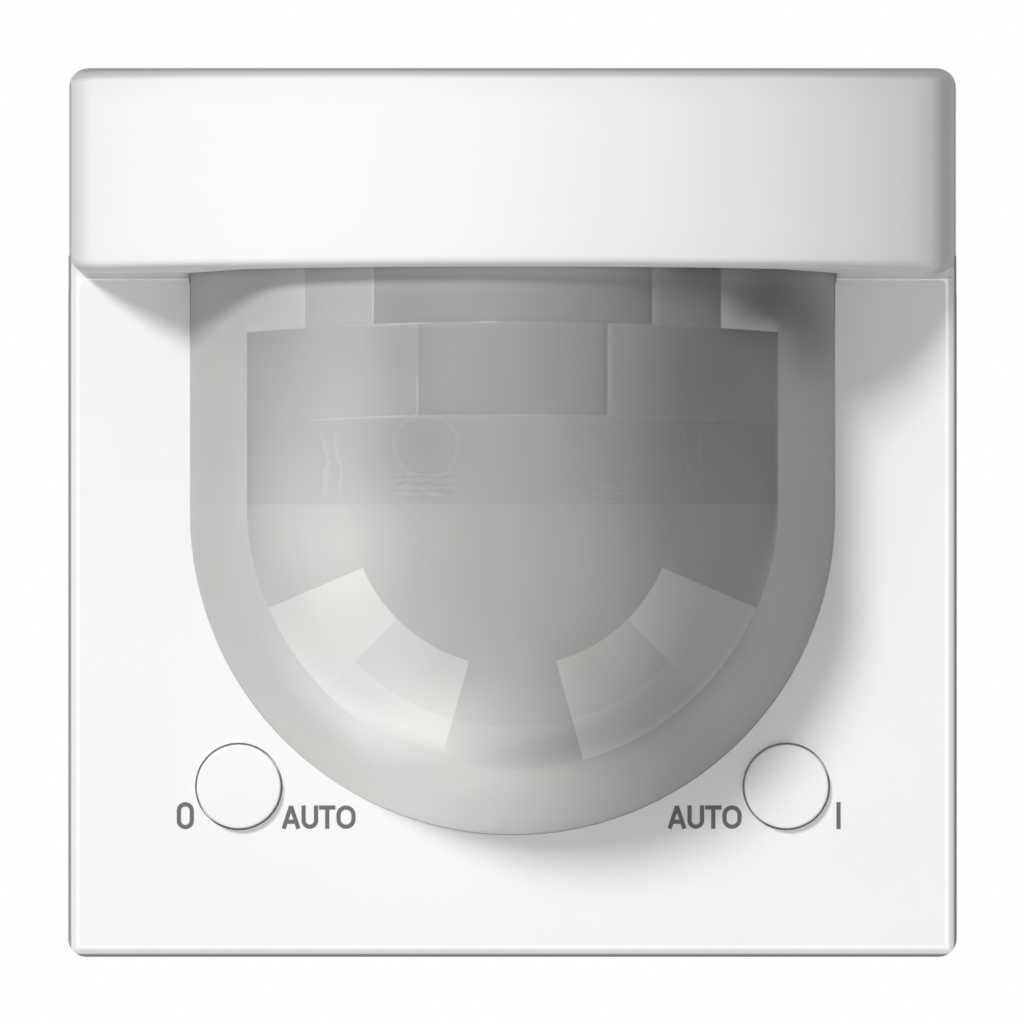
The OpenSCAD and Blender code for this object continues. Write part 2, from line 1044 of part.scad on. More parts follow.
// Button cap with a rounded rim and a flange that keeps it behind the plate
module button(x) {
    round_r = 0.35;
    stand()
        translate([x, -button_at, 0])
            union() {
                rod(0, 0, button_rear, button_shoulder, button_flange_r);
                rotate_extrude()
                    intersection() {
                        soft_top(
                            -button_r, button_shoulder - 0.5, button_r,
                            face_height + button_proud, round_r
                        );
                        square([2 * button_r, 4 * face_height]);
                    }
            }
}

module off_button() {
    color("whitesmoke")
        button(-button_at);
}

module on_button() {
    color("whitesmoke")
        button(button_at);
}

// Bodies of the three adjusters on the front of the board
module adjuster_cases() {
    color("royalblue")
        stand()
            for (i = [-1 : 1])
                difference() {
                    translate([i * adjuster_pitch, adjuster_y, 0])
                        span(
                            [-adjuster_case / 2, -adjuster_case / 2, board_front],
                            [adjuster_case / 2, adjuster_case / 2, board_front + adjuster_case_t]
                        );
                    rod(
                        i * adjuster_pitch, adjuster_y, board_front - 1,
                        board_front + adjuster_case_t - 0.4, adjuster_neck + turn_gap
                    );
                }
}

// Spindle of an adjuster, with a screwdriver slot in its rear end
module adjuster(i) {
    stand()
        translate([i * adjuster_pitch, adjuster_y, 0])
            difference() {
                union() {
                    rod(0, 0, base_rear + 0.1, board_front - 0.1, adjuster_r);
                    rod(0, 0, board_rear, board_front + adjuster_case_t - 0.6, adjuster_neck);
                }
                span([-adjuster_d, -0.4, base_rear - 1], [adjuster_d, 0.4, base_rear + 1.1]);
                span([-0.4, 0, base_rear - 1], [0.4, adjuster_d, base_rear + 0.7]);
            }
}

module brightness_adjuster() {
    color("orange")
        adjuster(-1);
}

module time_adjuster() {
    color("orange")
        adjuster(0);
}

module range_adjuster() {
    color("orange")
        adjuster(1);
}

// Plastic body of the plug on the rear of the board
module plug_header() {
    color("black")
        stand()
            difference() {
                span(
                    [-plug_w / 2, plug_y - plug_h / 2, header_rear],
                    [plug_w / 2, plug_y + plug_h / 2, board_rear]
                );
                plug_grid()
                    square_rod(pin_w + 0.02, header_rear - 1, board_rear + 1);
            }
}

module plug_pins() {
    color("gold")
        stand()
            plug_grid()
                square_rod(pin_w, socket_front - pin_reach, board_rear);
}

// Screws that draw the plate and the hood onto the base shell
module cover_screws() {
    color("silver")
        stand()
            for (x = [-1, 1], y = [-1, 1])
                translate([x * boss_at, y * boss_at, 0])
                    difference() {
                        union() {
                            rod(0, 0, base_rear - cover_head_t, base_rear, cover_head_r);
                            rod(0, 0, base_rear - 0.2, base_floor + cover_grip, cover_shank_r);
                        }
                        span(
                            [-cover_head_r, -0.3, base_rear - cover_head_t - 1],
                            [cover_head_r, 0.3, base_rear - cover_head_t + 0.6]
                        );
                        span(
                            [-0.3, -cover_head_r, base_rear - cover_head_t - 1],
                            [0.3, cover_head_r, base_rear - cover_head_t + 0.6]
                        );
                    }
}

support_ring();
insert_housing();
insert_lid();
ring_screws();
power_board();
relay();
power_capacitor();
film_capacitor();
varistor();
terminal_block();
terminal_clamps();
terminal_screws();
plug_socket();
base_shell();
front_plate();
hood();
lens();
sensor_board();
detector_holder();
detector_cans();
detector_windows();
light_sensor();
status_led();
controller_chip();
off_switch_case();
on_switch_case();
adjuster_cases();
plug_header();
plug_pins();
cover_screws();
off_button();
on_button();
off_plunger();
on_plunger();
brightness_adjuster();
time_adjuster();
range_adjuster();
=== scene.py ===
# %% [markdown]
# # A motion sensor light switch
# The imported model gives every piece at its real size: the square plate, the curved hood, the
# milky lens, two buttons, and the insert that sits behind the wall. This lesson dresses it:
# better meshes for the hood and the lens, printed signs, a finish on every piece, soft light and
# a camera. Blender works in metres, and the front of the switch looks along -Y.

# %% Load the frame
import json

import bmesh
import bpy
import numpy as np
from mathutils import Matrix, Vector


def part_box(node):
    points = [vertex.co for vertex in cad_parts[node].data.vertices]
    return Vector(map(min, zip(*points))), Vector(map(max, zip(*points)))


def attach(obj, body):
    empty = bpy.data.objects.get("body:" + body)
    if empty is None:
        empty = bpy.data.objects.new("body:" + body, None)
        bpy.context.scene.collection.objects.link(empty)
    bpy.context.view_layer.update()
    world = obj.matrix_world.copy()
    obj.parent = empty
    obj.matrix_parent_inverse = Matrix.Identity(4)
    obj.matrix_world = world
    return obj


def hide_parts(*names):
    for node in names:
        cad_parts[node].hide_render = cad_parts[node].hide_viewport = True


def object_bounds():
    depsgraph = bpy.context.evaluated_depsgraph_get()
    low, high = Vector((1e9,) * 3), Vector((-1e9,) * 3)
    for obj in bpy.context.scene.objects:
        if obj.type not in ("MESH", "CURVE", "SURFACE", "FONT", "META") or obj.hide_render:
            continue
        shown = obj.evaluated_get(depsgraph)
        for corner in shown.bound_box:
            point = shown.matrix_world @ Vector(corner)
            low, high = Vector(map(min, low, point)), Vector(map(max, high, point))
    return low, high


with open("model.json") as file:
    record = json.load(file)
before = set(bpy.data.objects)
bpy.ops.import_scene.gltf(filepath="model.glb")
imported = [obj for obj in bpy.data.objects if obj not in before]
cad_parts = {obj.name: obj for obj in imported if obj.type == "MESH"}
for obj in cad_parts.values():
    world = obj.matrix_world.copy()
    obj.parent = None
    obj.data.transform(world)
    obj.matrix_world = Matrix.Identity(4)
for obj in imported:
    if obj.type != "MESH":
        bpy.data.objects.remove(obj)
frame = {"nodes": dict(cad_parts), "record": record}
cad_box = [list(corner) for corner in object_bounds()]
NODES = frame["nodes"]
MM = 0.001

# %% [markdown]
# ## Sizes
# The front is easier to think about flat on a bench: x to the right, y up the wall and z out of
# the wall, all in millimetres. The main sizes are read from the frame, so the new meshes follow
# the model, and only what the boxes can't tell is written here.

# %% Read the main sizes from the frame


def face_box(node):
    """Lowest and highest corner of a node in bench millimetres: (x, z, -y) of the frame."""
    low, high = (np.array(corner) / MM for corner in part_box(node))
    return np.array([low[0], low[2], -high[1]]), np.array([high[0], high[2], -low[1]])


plate_low, plate_high = face_box("front_plate")
hood_low, hood_high = face_box("hood")
lens_low, lens_high = face_box("lens")
HALF = plate_high[0]
FACE = plate_high[2]
SKIRT_REAR = plate_low[2]
HOOD_BOTTOM, HOOD_TOP = hood_low[1], hood_high[1]
HOOD_APEX = hood_high[2]
LENS_RAISE = 0.4
LENS_TOP, LENS_CROWN = lens_high[1], lens_high[2] + LENS_RAISE
LENS_REAR = lens_low[2]
PLATE_WALL = 2.0
PLATE_BACK = FACE - PLATE_WALL
JOINT_GAP, JOINT_DEPTH = 0.35, 0.45
PLATE_TOP, TONGUE = HOOD_BOTTOM - JOINT_GAP, FACE - JOINT_DEPTH
print("half", HALF, "face", FACE, "hood", HOOD_BOTTOM, HOOD_TOP, HOOD_APEX, "lens", LENS_TOP, LENS_CROWN)

# %% [markdown]
# ## Helpers for meshes
# A surface on a grid of points needs only two steps: work out all the points at once as arrays,
# then number the corners of its quads. Points that fall on each other, as at a pole or a seam,
# are merged afterwards, and the faces of the closed shell are turned outwards.

# %% Grid and mesh helpers


def stand(x, y, z):
    """Bench millimetres to the frame's metres: (x, -z, y) / 1000."""
    return np.stack(np.broadcast_arrays(x, -np.asarray(z), y), axis=-1) * MM


def grid_faces(rows, columns, close_rows=False, close_columns=False):
    """Corner numbers of a grid's quads; a closed side joins its last line to its first."""
    i = np.arange(rows if close_rows else rows - 1)[:, None]
    j = np.arange(columns if close_columns else columns - 1)[None, :]
    next_i, next_j = (i + 1) % rows, (j + 1) % columns
    corners = [i * columns + j, i * columns + next_j, next_i * columns + next_j, next_i * columns + j]
    return np.stack(corners, axis=-1).reshape(-1, 4)


def row_caps(rows, columns):
    """Two faces that close a grid at its first and its last row."""
    last = (rows - 1) * columns
    return [list(range(columns)), list(range(last, last + columns))[::-1]]


def column_caps(rows, columns):
    """Two faces that close a grid at its first and its last column."""
    first = np.arange(rows) * columns
    return [first.tolist(), (first + columns - 1)[::-1].tolist()]


def quarter_round(radius, steps):
    """How far a quarter round stays from both faces of its corner: r * (1 - sin) and r * (1 - cos)."""
    turn = np.linspace(0, np.pi / 2, steps)
    return np.multiply.outer(1 - np.sin(turn), radius), np.multiply.outer(1 - np.cos(turn), radius)


# %% Make a piece of points and faces

MERGE_GAP, FLAT_GAP = 0.002 * MM, 0.001 * MM


def add_object(name, data):
    """Puts a new object with this data into the scene."""
    made = bpy.data.objects.new(name, data)
    bpy.context.scene.collection.objects.link(made)
    return made


def make_piece(name, points, faces, sharp=35, **values):
    """Makes an object of points and faces; each named array becomes a value on its points or faces."""
    mesh = bpy.data.meshes.new(name)
    mesh.from_pydata(points.reshape(-1, 3), [], faces)
    for key, numbers in values.items():
        domain = "FACE" if len(numbers) == len(faces) else "POINT"
        mesh.attributes.new(key, "FLOAT", domain).data.foreach_set("value", numbers)
    work = bmesh.new()
    work.from_mesh(mesh)
    bmesh.ops.remove_doubles(work, verts=work.verts, dist=MERGE_GAP)
    bmesh.ops.dissolve_degenerate(work, edges=work.edges, dist=FLAT_GAP)
    bmesh.ops.recalc_face_normals(work, faces=work.faces)
    work.to_mesh(mesh)
    open_edges = sum(not edge.is_manifold for edge in work.edges)
    work.free()
    mesh.polygons.foreach_set("use_smooth", np.ones(len(mesh.polygons), bool))
    mesh.set_sharp_from_angle(angle=np.radians(sharp))
    print(name, len(mesh.vertices), "points,", len(mesh.polygons), "faces,", open_edges, "open edges")
    return add_object(name, mesh)


# %% [markdown]
# ## Helpers for finishes
# A finish is a small network of shader nodes. Wrapping a socket in a class with operators lets
# the network read like arithmetic: `1 - mask` adds a Math node and returns its socket. Every
# other node comes from one method, which sets the node up and links its inputs.

# %% Socket arithmetic


class Value:
    """A socket whose number changes over the surface; operators on it add Math nodes."""

    def __init__(self, network, socket):
        self.network = network
        self.socket = socket

    def math(self, operation, *others, clamp=False):
        settings = {"operation": operation, "use_clamp": clamp}
        return self.network.node("ShaderNodeMath", settings, dict(enumerate((self, *others))))

    def __add__(self, other):
        return self.math("ADD", other)

    def __sub__(self, other):
        return self.math("SUBTRACT", other)

    def __mul__(self, other):
        return self.math("MULTIPLY", other)

    def __rsub__(self, other):
        return self.network.node("ShaderNodeMath", {"operation": "SUBTRACT"}, {0: other, 1: self})

    __radd__ = __add__
    __rmul__ = __mul__

    def step(self, start, stop):
        """Smooth rise from 0 at start to 1 at stop."""
        settings = {"interpolation_type": "SMOOTHSTEP"}
        return self.network.node("ShaderNodeMapRange", settings, {0: self, 1: start, 2: stop})


class Network:
    """A tree of shader nodes and the one method that adds to it."""

    def __init__(self, owner):
        owner.use_nodes = True
        self.tree = owner.node_tree

    def node(self, kind, settings, inputs, output=0):
        """Adds a node, sets it up, fills or links its sockets and returns one output."""
        made = self.tree.nodes.new(kind)
        for key, setting in settings.items():
            setattr(made, key, setting)
        for key, content in inputs.items():
            if isinstance(content, Value):
                self.tree.links.new(content.socket, made.inputs[key])
            else:
                made.inputs[key].default_value = content
        return Value(self, made.outputs[output])


# %% The finish class


class Finish(Network):
    """One material: its Principled shader and the place on the piece in millimetres."""

    def __init__(self, name, **constants):
        self.material = bpy.data.materials.new(name)
        super().__init__(self.material)
        self.shader = self.tree.nodes["Principled BSDF"]
        for socket, value in constants.items():
            self.shader.inputs[socket.replace("_", " ")].default_value = value
        place = self.node("ShaderNodeTexCoord", {}, {}, "Object")
        scaled = {0: place, "Scale": 1 / MM}
        self.place = self.node("ShaderNodeVectorMath", {"operation": "SCALE"}, scaled)

    def feed(self, socket, value):
        """Links a value to a socket of the Principled shader."""
        self.tree.links.new(value.socket, self.shader.inputs[socket])

    def axes(self):
        """Bench x, y and z of the place, in millimetres."""
        parts = [self.node("ShaderNodeSeparateXYZ", {}, {0: self.place}, axis) for axis in "XYZ"]
        return parts[0], parts[2], 0 - parts[1]

    def noise(self, size, detail=2.0, stretch=(1, 1, 1), seed=(0, 0, 0)):
        """Cloudy noise from 0 to 1 with lumps of about this size in millimetres."""
        place = self.node(
            "ShaderNodeMapping", {"vector_type": "POINT"},
            {"Vector": self.place, "Location": seed, "Scale": stretch},
        )
        inputs = {"Vector": place, "Scale": 1 / size, "Detail": detail}
        return self.node("ShaderNodeTexNoise", {}, inputs)

    def mix(self, amount, first, second):
        """Blends two colours, which may be links or plain colours."""
        ends = [end if isinstance(end, Value) else (*end, 1) for end in (first, second)]
        return self.node("ShaderNodeMix", {"data_type": "RGBA"}, {0: amount, 6: ends[0], 7: ends[1]}, 2)

    def shades(self, amount, colour, dark, light):
        """Blends a darker and a lighter shade of a colour, given as factors."""
        ends = (tuple(min(1.0, part * factor) for part in colour) for factor in (dark, light))
        return self.mix(amount, *ends)

    def drift(self, size, reach):
        """Cloudy noise about 0, with lumps of this size, that spans this reach."""
        return (self.noise(size) - 0.5) * reach

    def mark(self, name):
        """A value that the mesh itself carries, or 0 where it has none."""
        return self.node("ShaderNodeAttribute", {"attribute_name": name}, {}, "Fac")

    def bump(self, height, depth=1.0, normal=None):
        """Normal of the surface with a height on it, where a height of 1 is worth depth millimetres."""
        inputs = {"Height": height, "Distance": depth * MM, "Strength": 1.0}
        return self.node("ShaderNodeBump", {}, inputs | ({"Normal": normal} if normal else {}))

    def mix_normals(self, amount, first, second):
        """Turns one normal towards another by an amount from 0 to 1."""
        blend = self.node("ShaderNodeMix", {"data_type": "VECTOR"}, {0: amount, 4: first, 5: second}, 1)
        return self.node("ShaderNodeVectorMath", {"operation": "NORMALIZE"}, {0: blend})


# %% [markdown]
# ## White plastic
# The plate, the hood and the buttons are moulded in one smooth white plastic with a soft shine.
# A flat white would look like paper, so the colour drifts by a percent or two, the shine varies
# a little, and a very fine grain breaks up the highlights, as the mould's surface does.

# %% Plain moulded plastic

COLOUR_LUMPS = 9.0
SHINE_LUMPS, SHINE_DRIFT = 4.0, 0.08


def drifting_colour(finish, colour, drift):
    """A colour that is darker or lighter by up to a share of drift, in lumps of COLOUR_LUMPS."""
    return finish.shades(finish.noise(COLOUR_LUMPS), colour, 1 - drift, 1 + drift)


def moulded_surface(finish, shine, grain=0.25, depth=0.002):
    """Roughness that drifts about shine in lumps of SHINE_LUMPS, under a fine grain."""
    finish.feed("Roughness", shine + finish.drift(SHINE_LUMPS, SHINE_DRIFT))
    finish.feed("Normal", finish.bump(finish.noise(grain), depth))


def moulded_plastic(name, colour, shine, drift=0.02, grain=0.25, depth=0.002, **constants):
    """Moulded plastic: a drifting colour, a drifting shine and a fine grain on top."""
    finish = Finish(name, **constants)
    finish.feed("Base Color", drifting_colour(finish, colour, drift))
    moulded_surface(finish, shine, grain, depth)
    return finish.material


# %% White plastic with painted shade on its rim and a painted highlight line

WHITE, WHITE_SHINE, WHITE_GLOSS, WHITE_DRIFT = (0.87, 0.87, 0.87), 0.5, 0.12, 0.015
# Painted shade: a dark grey contour on the outer rim, and a lighter grey on the rounding inside it
RIM_SHADE_GREY, RIM_EDGE = (0.28, 0.28, 0.28), (0.162, 0.351)
ROUND_SHADE, ROUND_EDGE = 0.19, (0.55, 0.72)
# Painted highlight: a lighter white line inside the rounding, under a glossy coat
BRIGHT_LINE, LINE_EDGE = 0.8, (0.05, 0.17)
HIGHLIGHT_WHITE, HIGHLIGHT_SHARE = (0.97, 0.97, 0.97), 0.8
JOINT_LINE, JOINT_BLEND = 0.1, 0.6
FRONT_PART = (FACE - 1.3, FACE - 0.7)
PLATE_END = (PLATE_TOP - 0.05, PLATE_TOP + 0.1)


def rimmed_plastic(name):
    """White plastic with painted shade on its rim and rounding, and a painted highlight line.

    The highlight line is a lighter white under a glossy coat. It lies BRIGHT_LINE inside the
    plate's outline and JOINT_LINE below its top edge.
    """
    finish = Finish(name, Specular_IOR_Level=WHITE_GLOSS, Coat_IOR=3.2, Coat_Roughness=0.2)
    x, y, z = finish.axes()
    inset = HALF - x.math("ABSOLUTE").math("MAXIMUM", 0 - y)
    below_joint = PLATE_TOP - JOINT_LINE + BRIGHT_LINE - y
    from_edge = inset.math("SMOOTH_MIN", below_joint, JOINT_BLEND)
    front, low_part = z.step(*FRONT_PART), 1 - y.step(*PLATE_END)
    # Painted shade on the outer rim and, less dark, on its rounding
    rim = (1 - inset.step(*RIM_EDGE)) * front
    painted_round_shade = (1 - inset.step(*ROUND_EDGE)) * front * ROUND_SHADE
    # Painted highlight: the lighter line, which also carries the coat
    line = (1 - (from_edge - BRIGHT_LINE).math("ABSOLUTE").step(*LINE_EDGE)) * low_part * front
    colour = drifting_colour(finish, WHITE, WHITE_DRIFT)
    colour = finish.mix(line * HIGHLIGHT_SHARE, colour, HIGHLIGHT_WHITE)
    # Painted shade of the rim, of the rounding and of the hood's edges, mixed towards grey
    painted_shade = rim.math("MAXIMUM", painted_round_shade).math("MAXIMUM", finish.mark("rim"))
    finish.feed("Base Color", finish.mix(painted_shade, colour, RIM_SHADE_GREY))
    finish.feed("Coat Weight", line)
    moulded_surface(finish, WHITE_SHINE)
    return finish.material


white_plastic = rimmed_plastic("white_plastic")
button_plastic = moulded_plastic("button_plastic", WHITE, WHITE_SHINE, Specular_IOR_Level=WHITE_GLOSS)
print("white finishes made")

# %% [markdown]
# ## The hood
# The hood is a curved eave that shades the lens. It could be a bevelled cylinder cut to length,
# but its rounding grows towards the ends and its top slopes a little so that the mould opens, so
# it is worked out as a profile carried along a path. The path is the hood's outline seen from
# above: a side, a small round end, the long arc, the other end and side. At each point of the
# path the profile runs over the top edge, down the front and round the lower edge.

# %% Outline of the hood seen from above

HOOD_END_RISE = 0.85
HOOD_END_ROUND = 11.0
HOOD_WALL = 1.8
SIDE_STEPS, END_STEPS, ARC_STEPS = 7, 23, 60
sag = HOOD_APEX - FACE - HOOD_END_RISE
HOOD_RADIUS = (HALF**2 + sag**2) / (2 * sag)
HOOD_AXIS = HOOD_APEX - HOOD_RADIUS


def hood_path():
    """Points and outward normals along the hood's plan: side, end round, long arc, mirrored.

    The end round touches both the side x = HALF and the arc of HOOD_RADIUS about HOOD_AXIS.
    """
    centre_x = HALF - HOOD_END_ROUND
    reach = HOOD_RADIUS - HOOD_END_ROUND
    centre_z = HOOD_AXIS + np.sqrt(reach**2 - centre_x**2)
    touch = np.arctan2(centre_x, centre_z - HOOD_AXIS)
    side_z = np.linspace(SKIRT_REAR, centre_z, SIDE_STEPS + 1)[:-1]
    turn = np.linspace(np.pi / 2, touch, END_STEPS + 1)[:-1]
    sweep = np.linspace(touch, 0, ARC_STEPS)
    side_x = np.full(SIDE_STEPS, HALF)
    x = np.concatenate([
        side_x, centre_x + HOOD_END_ROUND * np.sin(turn), HOOD_RADIUS * np.sin(sweep)
    ])
    z = np.concatenate([
        side_z, centre_z + HOOD_END_ROUND * np.cos(turn), HOOD_AXIS + HOOD_RADIUS * np.cos(sweep)
    ])
    angle = np.concatenate([np.full(SIDE_STEPS, np.pi / 2), turn, sweep])
    x, z, angle = (np.concatenate([a, s * a[-2::-1]]) for a, s in ((x, -1), (z, 1), (angle, -1)))
    return x, z, np.sin(angle), np.cos(angle)


path_x, path_z, normal_x, normal_z = hood_path()
print("hood path has", len(path_x), "points; arc radius", round(HOOD_RADIUS, 2), "mm")

# %% [markdown]
# The lens stands in a slot of the hood's lower wall, so that wall ends at the lens's own section
# grown by a small gap. The section of the lens is one curve that the hood and the lens share: a
# shallow arc over the field of segments, blended into the sloping border.

# %% Section of the lens

LENS_HALF = HALF - 9.61
OPTIC_HALF = HALF - 14.35
BORDER_RISE = 11.7
LENS_WALL = 1.2
RIM_CRISP = 0.12
optic_sag = LENS_CROWN - FACE - BORDER_RISE
OPTIC_RADIUS = (OPTIC_HALF**2 + optic_sag**2) / (2 * optic_sag)
OPTIC_AXIS = LENS_CROWN - OPTIC_RADIUS


def lens_height(r, grow=0.0, soft=RIM_CRISP):
    """Height of the lens at distance r from its middle: the lower of an arc and a slope, blended.

    The blend is the soft minimum -soft * log(exp(-arc / soft) + exp(-slope / soft)).
    """
    radius = OPTIC_RADIUS + grow
    arc = OPTIC_AXIS + np.sqrt(np.maximum(radius**2 - r**2, 1.0))
    steep = BORDER_RISE / (LENS_HALF - OPTIC_HALF)
    slope = FACE + steep * (LENS_HALF + grow * np.hypot(1, 1 / steep) - r)
    return -soft * np.logaddexp(-arc / soft, -slope / soft)


print("lens crown", lens_height(0.0), "rim of the field", lens_height(OPTIC_HALF))

# %% Outer skin of the hood

HOOD_EDGE = 0.8
HOOD_CORNER, CORNER_POWER = 1.45, 6
EDGE_ROWS, UPRIGHT_ROWS = 9, 6
TOP_DRAFT = np.tan(np.radians(2.0))
LOW_DRAFT = np.tan(np.radians(0.5))
hood_edge = HOOD_EDGE + (HOOD_CORNER - HOOD_EDGE) * np.abs(normal_x) ** CORNER_POWER


def offset(depth):
    """The hood's plan moved inwards by a depth, which may be an array with one column a point."""
    return path_x - depth * normal_x, path_z - depth * normal_z


def draft_top(z, drop=0.0):
    """Level of the hood's top, which falls away to the front, or of its inside below it."""
    return HOOD_TOP - drop - np.maximum(z - FACE, 0) * TOP_DRAFT


def draft_low(z, rise=0.0):
    """Level of the hood's underside, which rises to the front, or of its inside above it."""
    return HOOD_BOTTOM + rise + np.maximum(z - FACE, 0) * LOW_DRAFT


def hood_skin():
    """Rows of the outer skin from the top edge to the lower edge.

    Each edge is a quarter round whose radius grows from HOOD_EDGE on the arc to HOOD_CORNER at
    the sides. The upright part between the rounds is spread evenly.
    """
    short, drop = quarter_round(hood_edge, EDGE_ROWS)
    top_x, top_z = offset(short)
    low_x, low_z = offset(drop)
    top, low = draft_top(top_z) - drop, draft_low(low_z) + short
    share = np.linspace(0, 1, UPRIGHT_ROWS + 2)[1:-1, None]
    middle = top[-1] + (low[0] - top[-1]) * share
    repeat = np.ones_like(share)
    rows_x = np.concatenate([top_x, path_x * repeat, low_x])
    rows_z = np.concatenate([top_z, path_z * repeat, low_z])
    return rows_x, np.concatenate([top, middle, low]), rows_z


# %% Painted shade on the hood's edges

TOP_TURN, TOP_EDGE_SHADE = (0, 38, 48, 68, 90), (1.0, 1.0, 0.72, 0.62, 0.08)
LOW_TURN, LOW_EDGE_SHADE = (0, 20, 45, 90), (0.0, 0.1, 0.42, 0.3)
LOW_ENDS, LOW_SHARE = (0.3, 0.6), (0.5, 1.0)
# Painted shade on the ends, darker on the right end, which is turned away from the light
END_STARTS, END_SHADES, END_GROW = (0.82, 0.76), (0.34, 0.62), 0.15  # left and right end
END_FADE = (FACE - 2.4, FACE - 0.4)


def hood_painted_shade():
    """Painted shade on the skin's rows: over the top edge, on both ends and on the lower edge.

    The top's round and the lower edge's round each follow their own list of shades, the lower
    one half as dark on the arc. The ends grow darker where the outline turns, the right end
    more, as it is turned away from the light.
    """
    turn = np.linspace(0, 90, EDGE_ROWS)[:, None]
    across = np.abs(normal_x)
    top = np.interp(turn, TOP_TURN, TOP_EDGE_SHADE)
    low = np.interp(turn, LOW_TURN, LOW_EDGE_SHADE) * np.interp(across, LOW_ENDS, LOW_SHARE)
    side = (normal_x > 0).astype(int)
    start, shade = np.take(END_STARTS, side), np.take(END_SHADES, side)
    ends = shade * np.clip((across - start) / END_GROW, 0, 1) * np.interp(path_z, END_FADE, (0, 1))
    upright = np.zeros((UPRIGHT_ROWS, len(path_x)))
    return np.maximum(np.vstack([top + 0 * ends, upright, low]), ends)


# %% Build the hood

SLOT_GAP = 0.25
TOP_SHELF = 0.4
OVERLAP = 0.1


def slot_line(x):
    """How far forward the open part of the lower wall reaches: the lens's section, or the plate."""
    inside = np.abs(x) < LENS_HALF + SLOT_GAP
    lens_edge = np.maximum(lens_height(np.abs(x), SLOT_GAP), TONGUE + OVERLAP)
    return np.where(inside, lens_edge, TONGUE + OVERLAP)


def build_hood():
    """Closed loop of rows: outer skin, lower wall to the slot, inside, and back to the top's rear."""
    skin_x, skin_y, skin_z = hood_skin()
    inner_x, inner_z = offset(HOOD_WALL)
    slot_z = np.minimum(inner_z, slot_line(inner_x))
    rear_z = np.full_like(inner_z, SKIRT_REAR)
    low_in = draft_low(inner_z, HOOD_WALL)
    top_in = draft_top(inner_z, HOOD_WALL)
    shelf_x, shelf_z = offset(hood_edge + TOP_SHELF)
    shelf_z = np.maximum(shelf_z, SKIRT_REAR)
    rows_x = [shelf_x, skin_x, inner_x, inner_x, inner_x, inner_x, inner_x, shelf_x]
    rows_y = [
        draft_top(shelf_z), skin_y, draft_low(slot_z), draft_low(slot_z, HOOD_WALL), low_in, top_in,
        draft_top(rear_z, HOOD_WALL), draft_top(rear_z),
    ]
    rows_z = [shelf_z, skin_z, slot_z, slot_z, inner_z, inner_z, rear_z, rear_z]
    x, y, z = (np.vstack(rows) for rows in (rows_x, rows_y, rows_z))
    rows, columns = x.shape
    faces = grid_faces(rows, columns, close_rows=True).tolist() + column_caps(rows, columns)
    # Painted shade on the hood's skin, carried as a value on its points
    rim = np.zeros(x.shape)
    rim[1 : len(skin_x) + 1] = hood_painted_shade()
    return make_piece("curved_hood", stand(x, y, z), faces, rim=rim.ravel())


curved_hood = build_hood()
curved_hood.data.materials.append(white_plastic)
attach(curved_hood, "sensor_head")
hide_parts("hood")

# %% [markdown]
# The plate's tongue shows as a shallow line below the hood. On the real switch it runs out to the
# plate's sides, so that no notch is seen in the outline where the two round corners meet. Each
# end of the tongue is a short bar with one rounded edge: a profile carried up the wall.

# %% Ends of the tongue

END_INSET = 0.01
BAND_DEPTH = 0.2
END_DROP = BAND_DEPTH + 0.05
END_EDGE = 0.8
ROUND_STEPS, END_LEVELS = 9, 6
END_LOW, END_HIGH = PLATE_TOP - 1.6, HOOD_BOTTOM + 1.4


def build_tongue_end(name, side):
    """Closed bar from low to high: inner face, front, quarter round of END_EDGE, side and rear."""
    short, drop = quarter_round(END_EDGE, ROUND_STEPS)
    inner, outer = HALF - PLATE_WALL - OVERLAP, HALF - END_INSET
    front, rear = FACE - END_DROP, SKIRT_REAR + END_INSET
    x = np.concatenate([[inner, inner], outer - short, [outer]])
    z = np.concatenate([[rear, front], front - drop, [rear]])
    levels = np.linspace(END_LOW, END_HIGH, END_LEVELS)[:, None]
    rows, columns = len(levels), len(x)
    faces = grid_faces(rows, columns, close_columns=True).tolist() + row_caps(rows, columns)
    piece = make_piece(name, stand(side * x, levels, z), faces)
    piece.data.materials.append(white_plastic)
    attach(piece, "sensor_head")


build_tongue_end("tongue_end_left", -1)
build_tongue_end("tongue_end_right", 1)

# %% [markdown]
# The plate's top edge meets that shallow line with a crisp corner, which catches the light. The
# packed plate is rounded more there, so a thin strip on each side of the lens fills its edge out.

# %% Crisp top edge of the plate on both sides of the lens

CRISP_EDGE, CRISP_STEPS = 0.08, 7
CRISP_INSET = 0.02
STRIP_REACH = 0.5
FLAT_STOP = 2.0


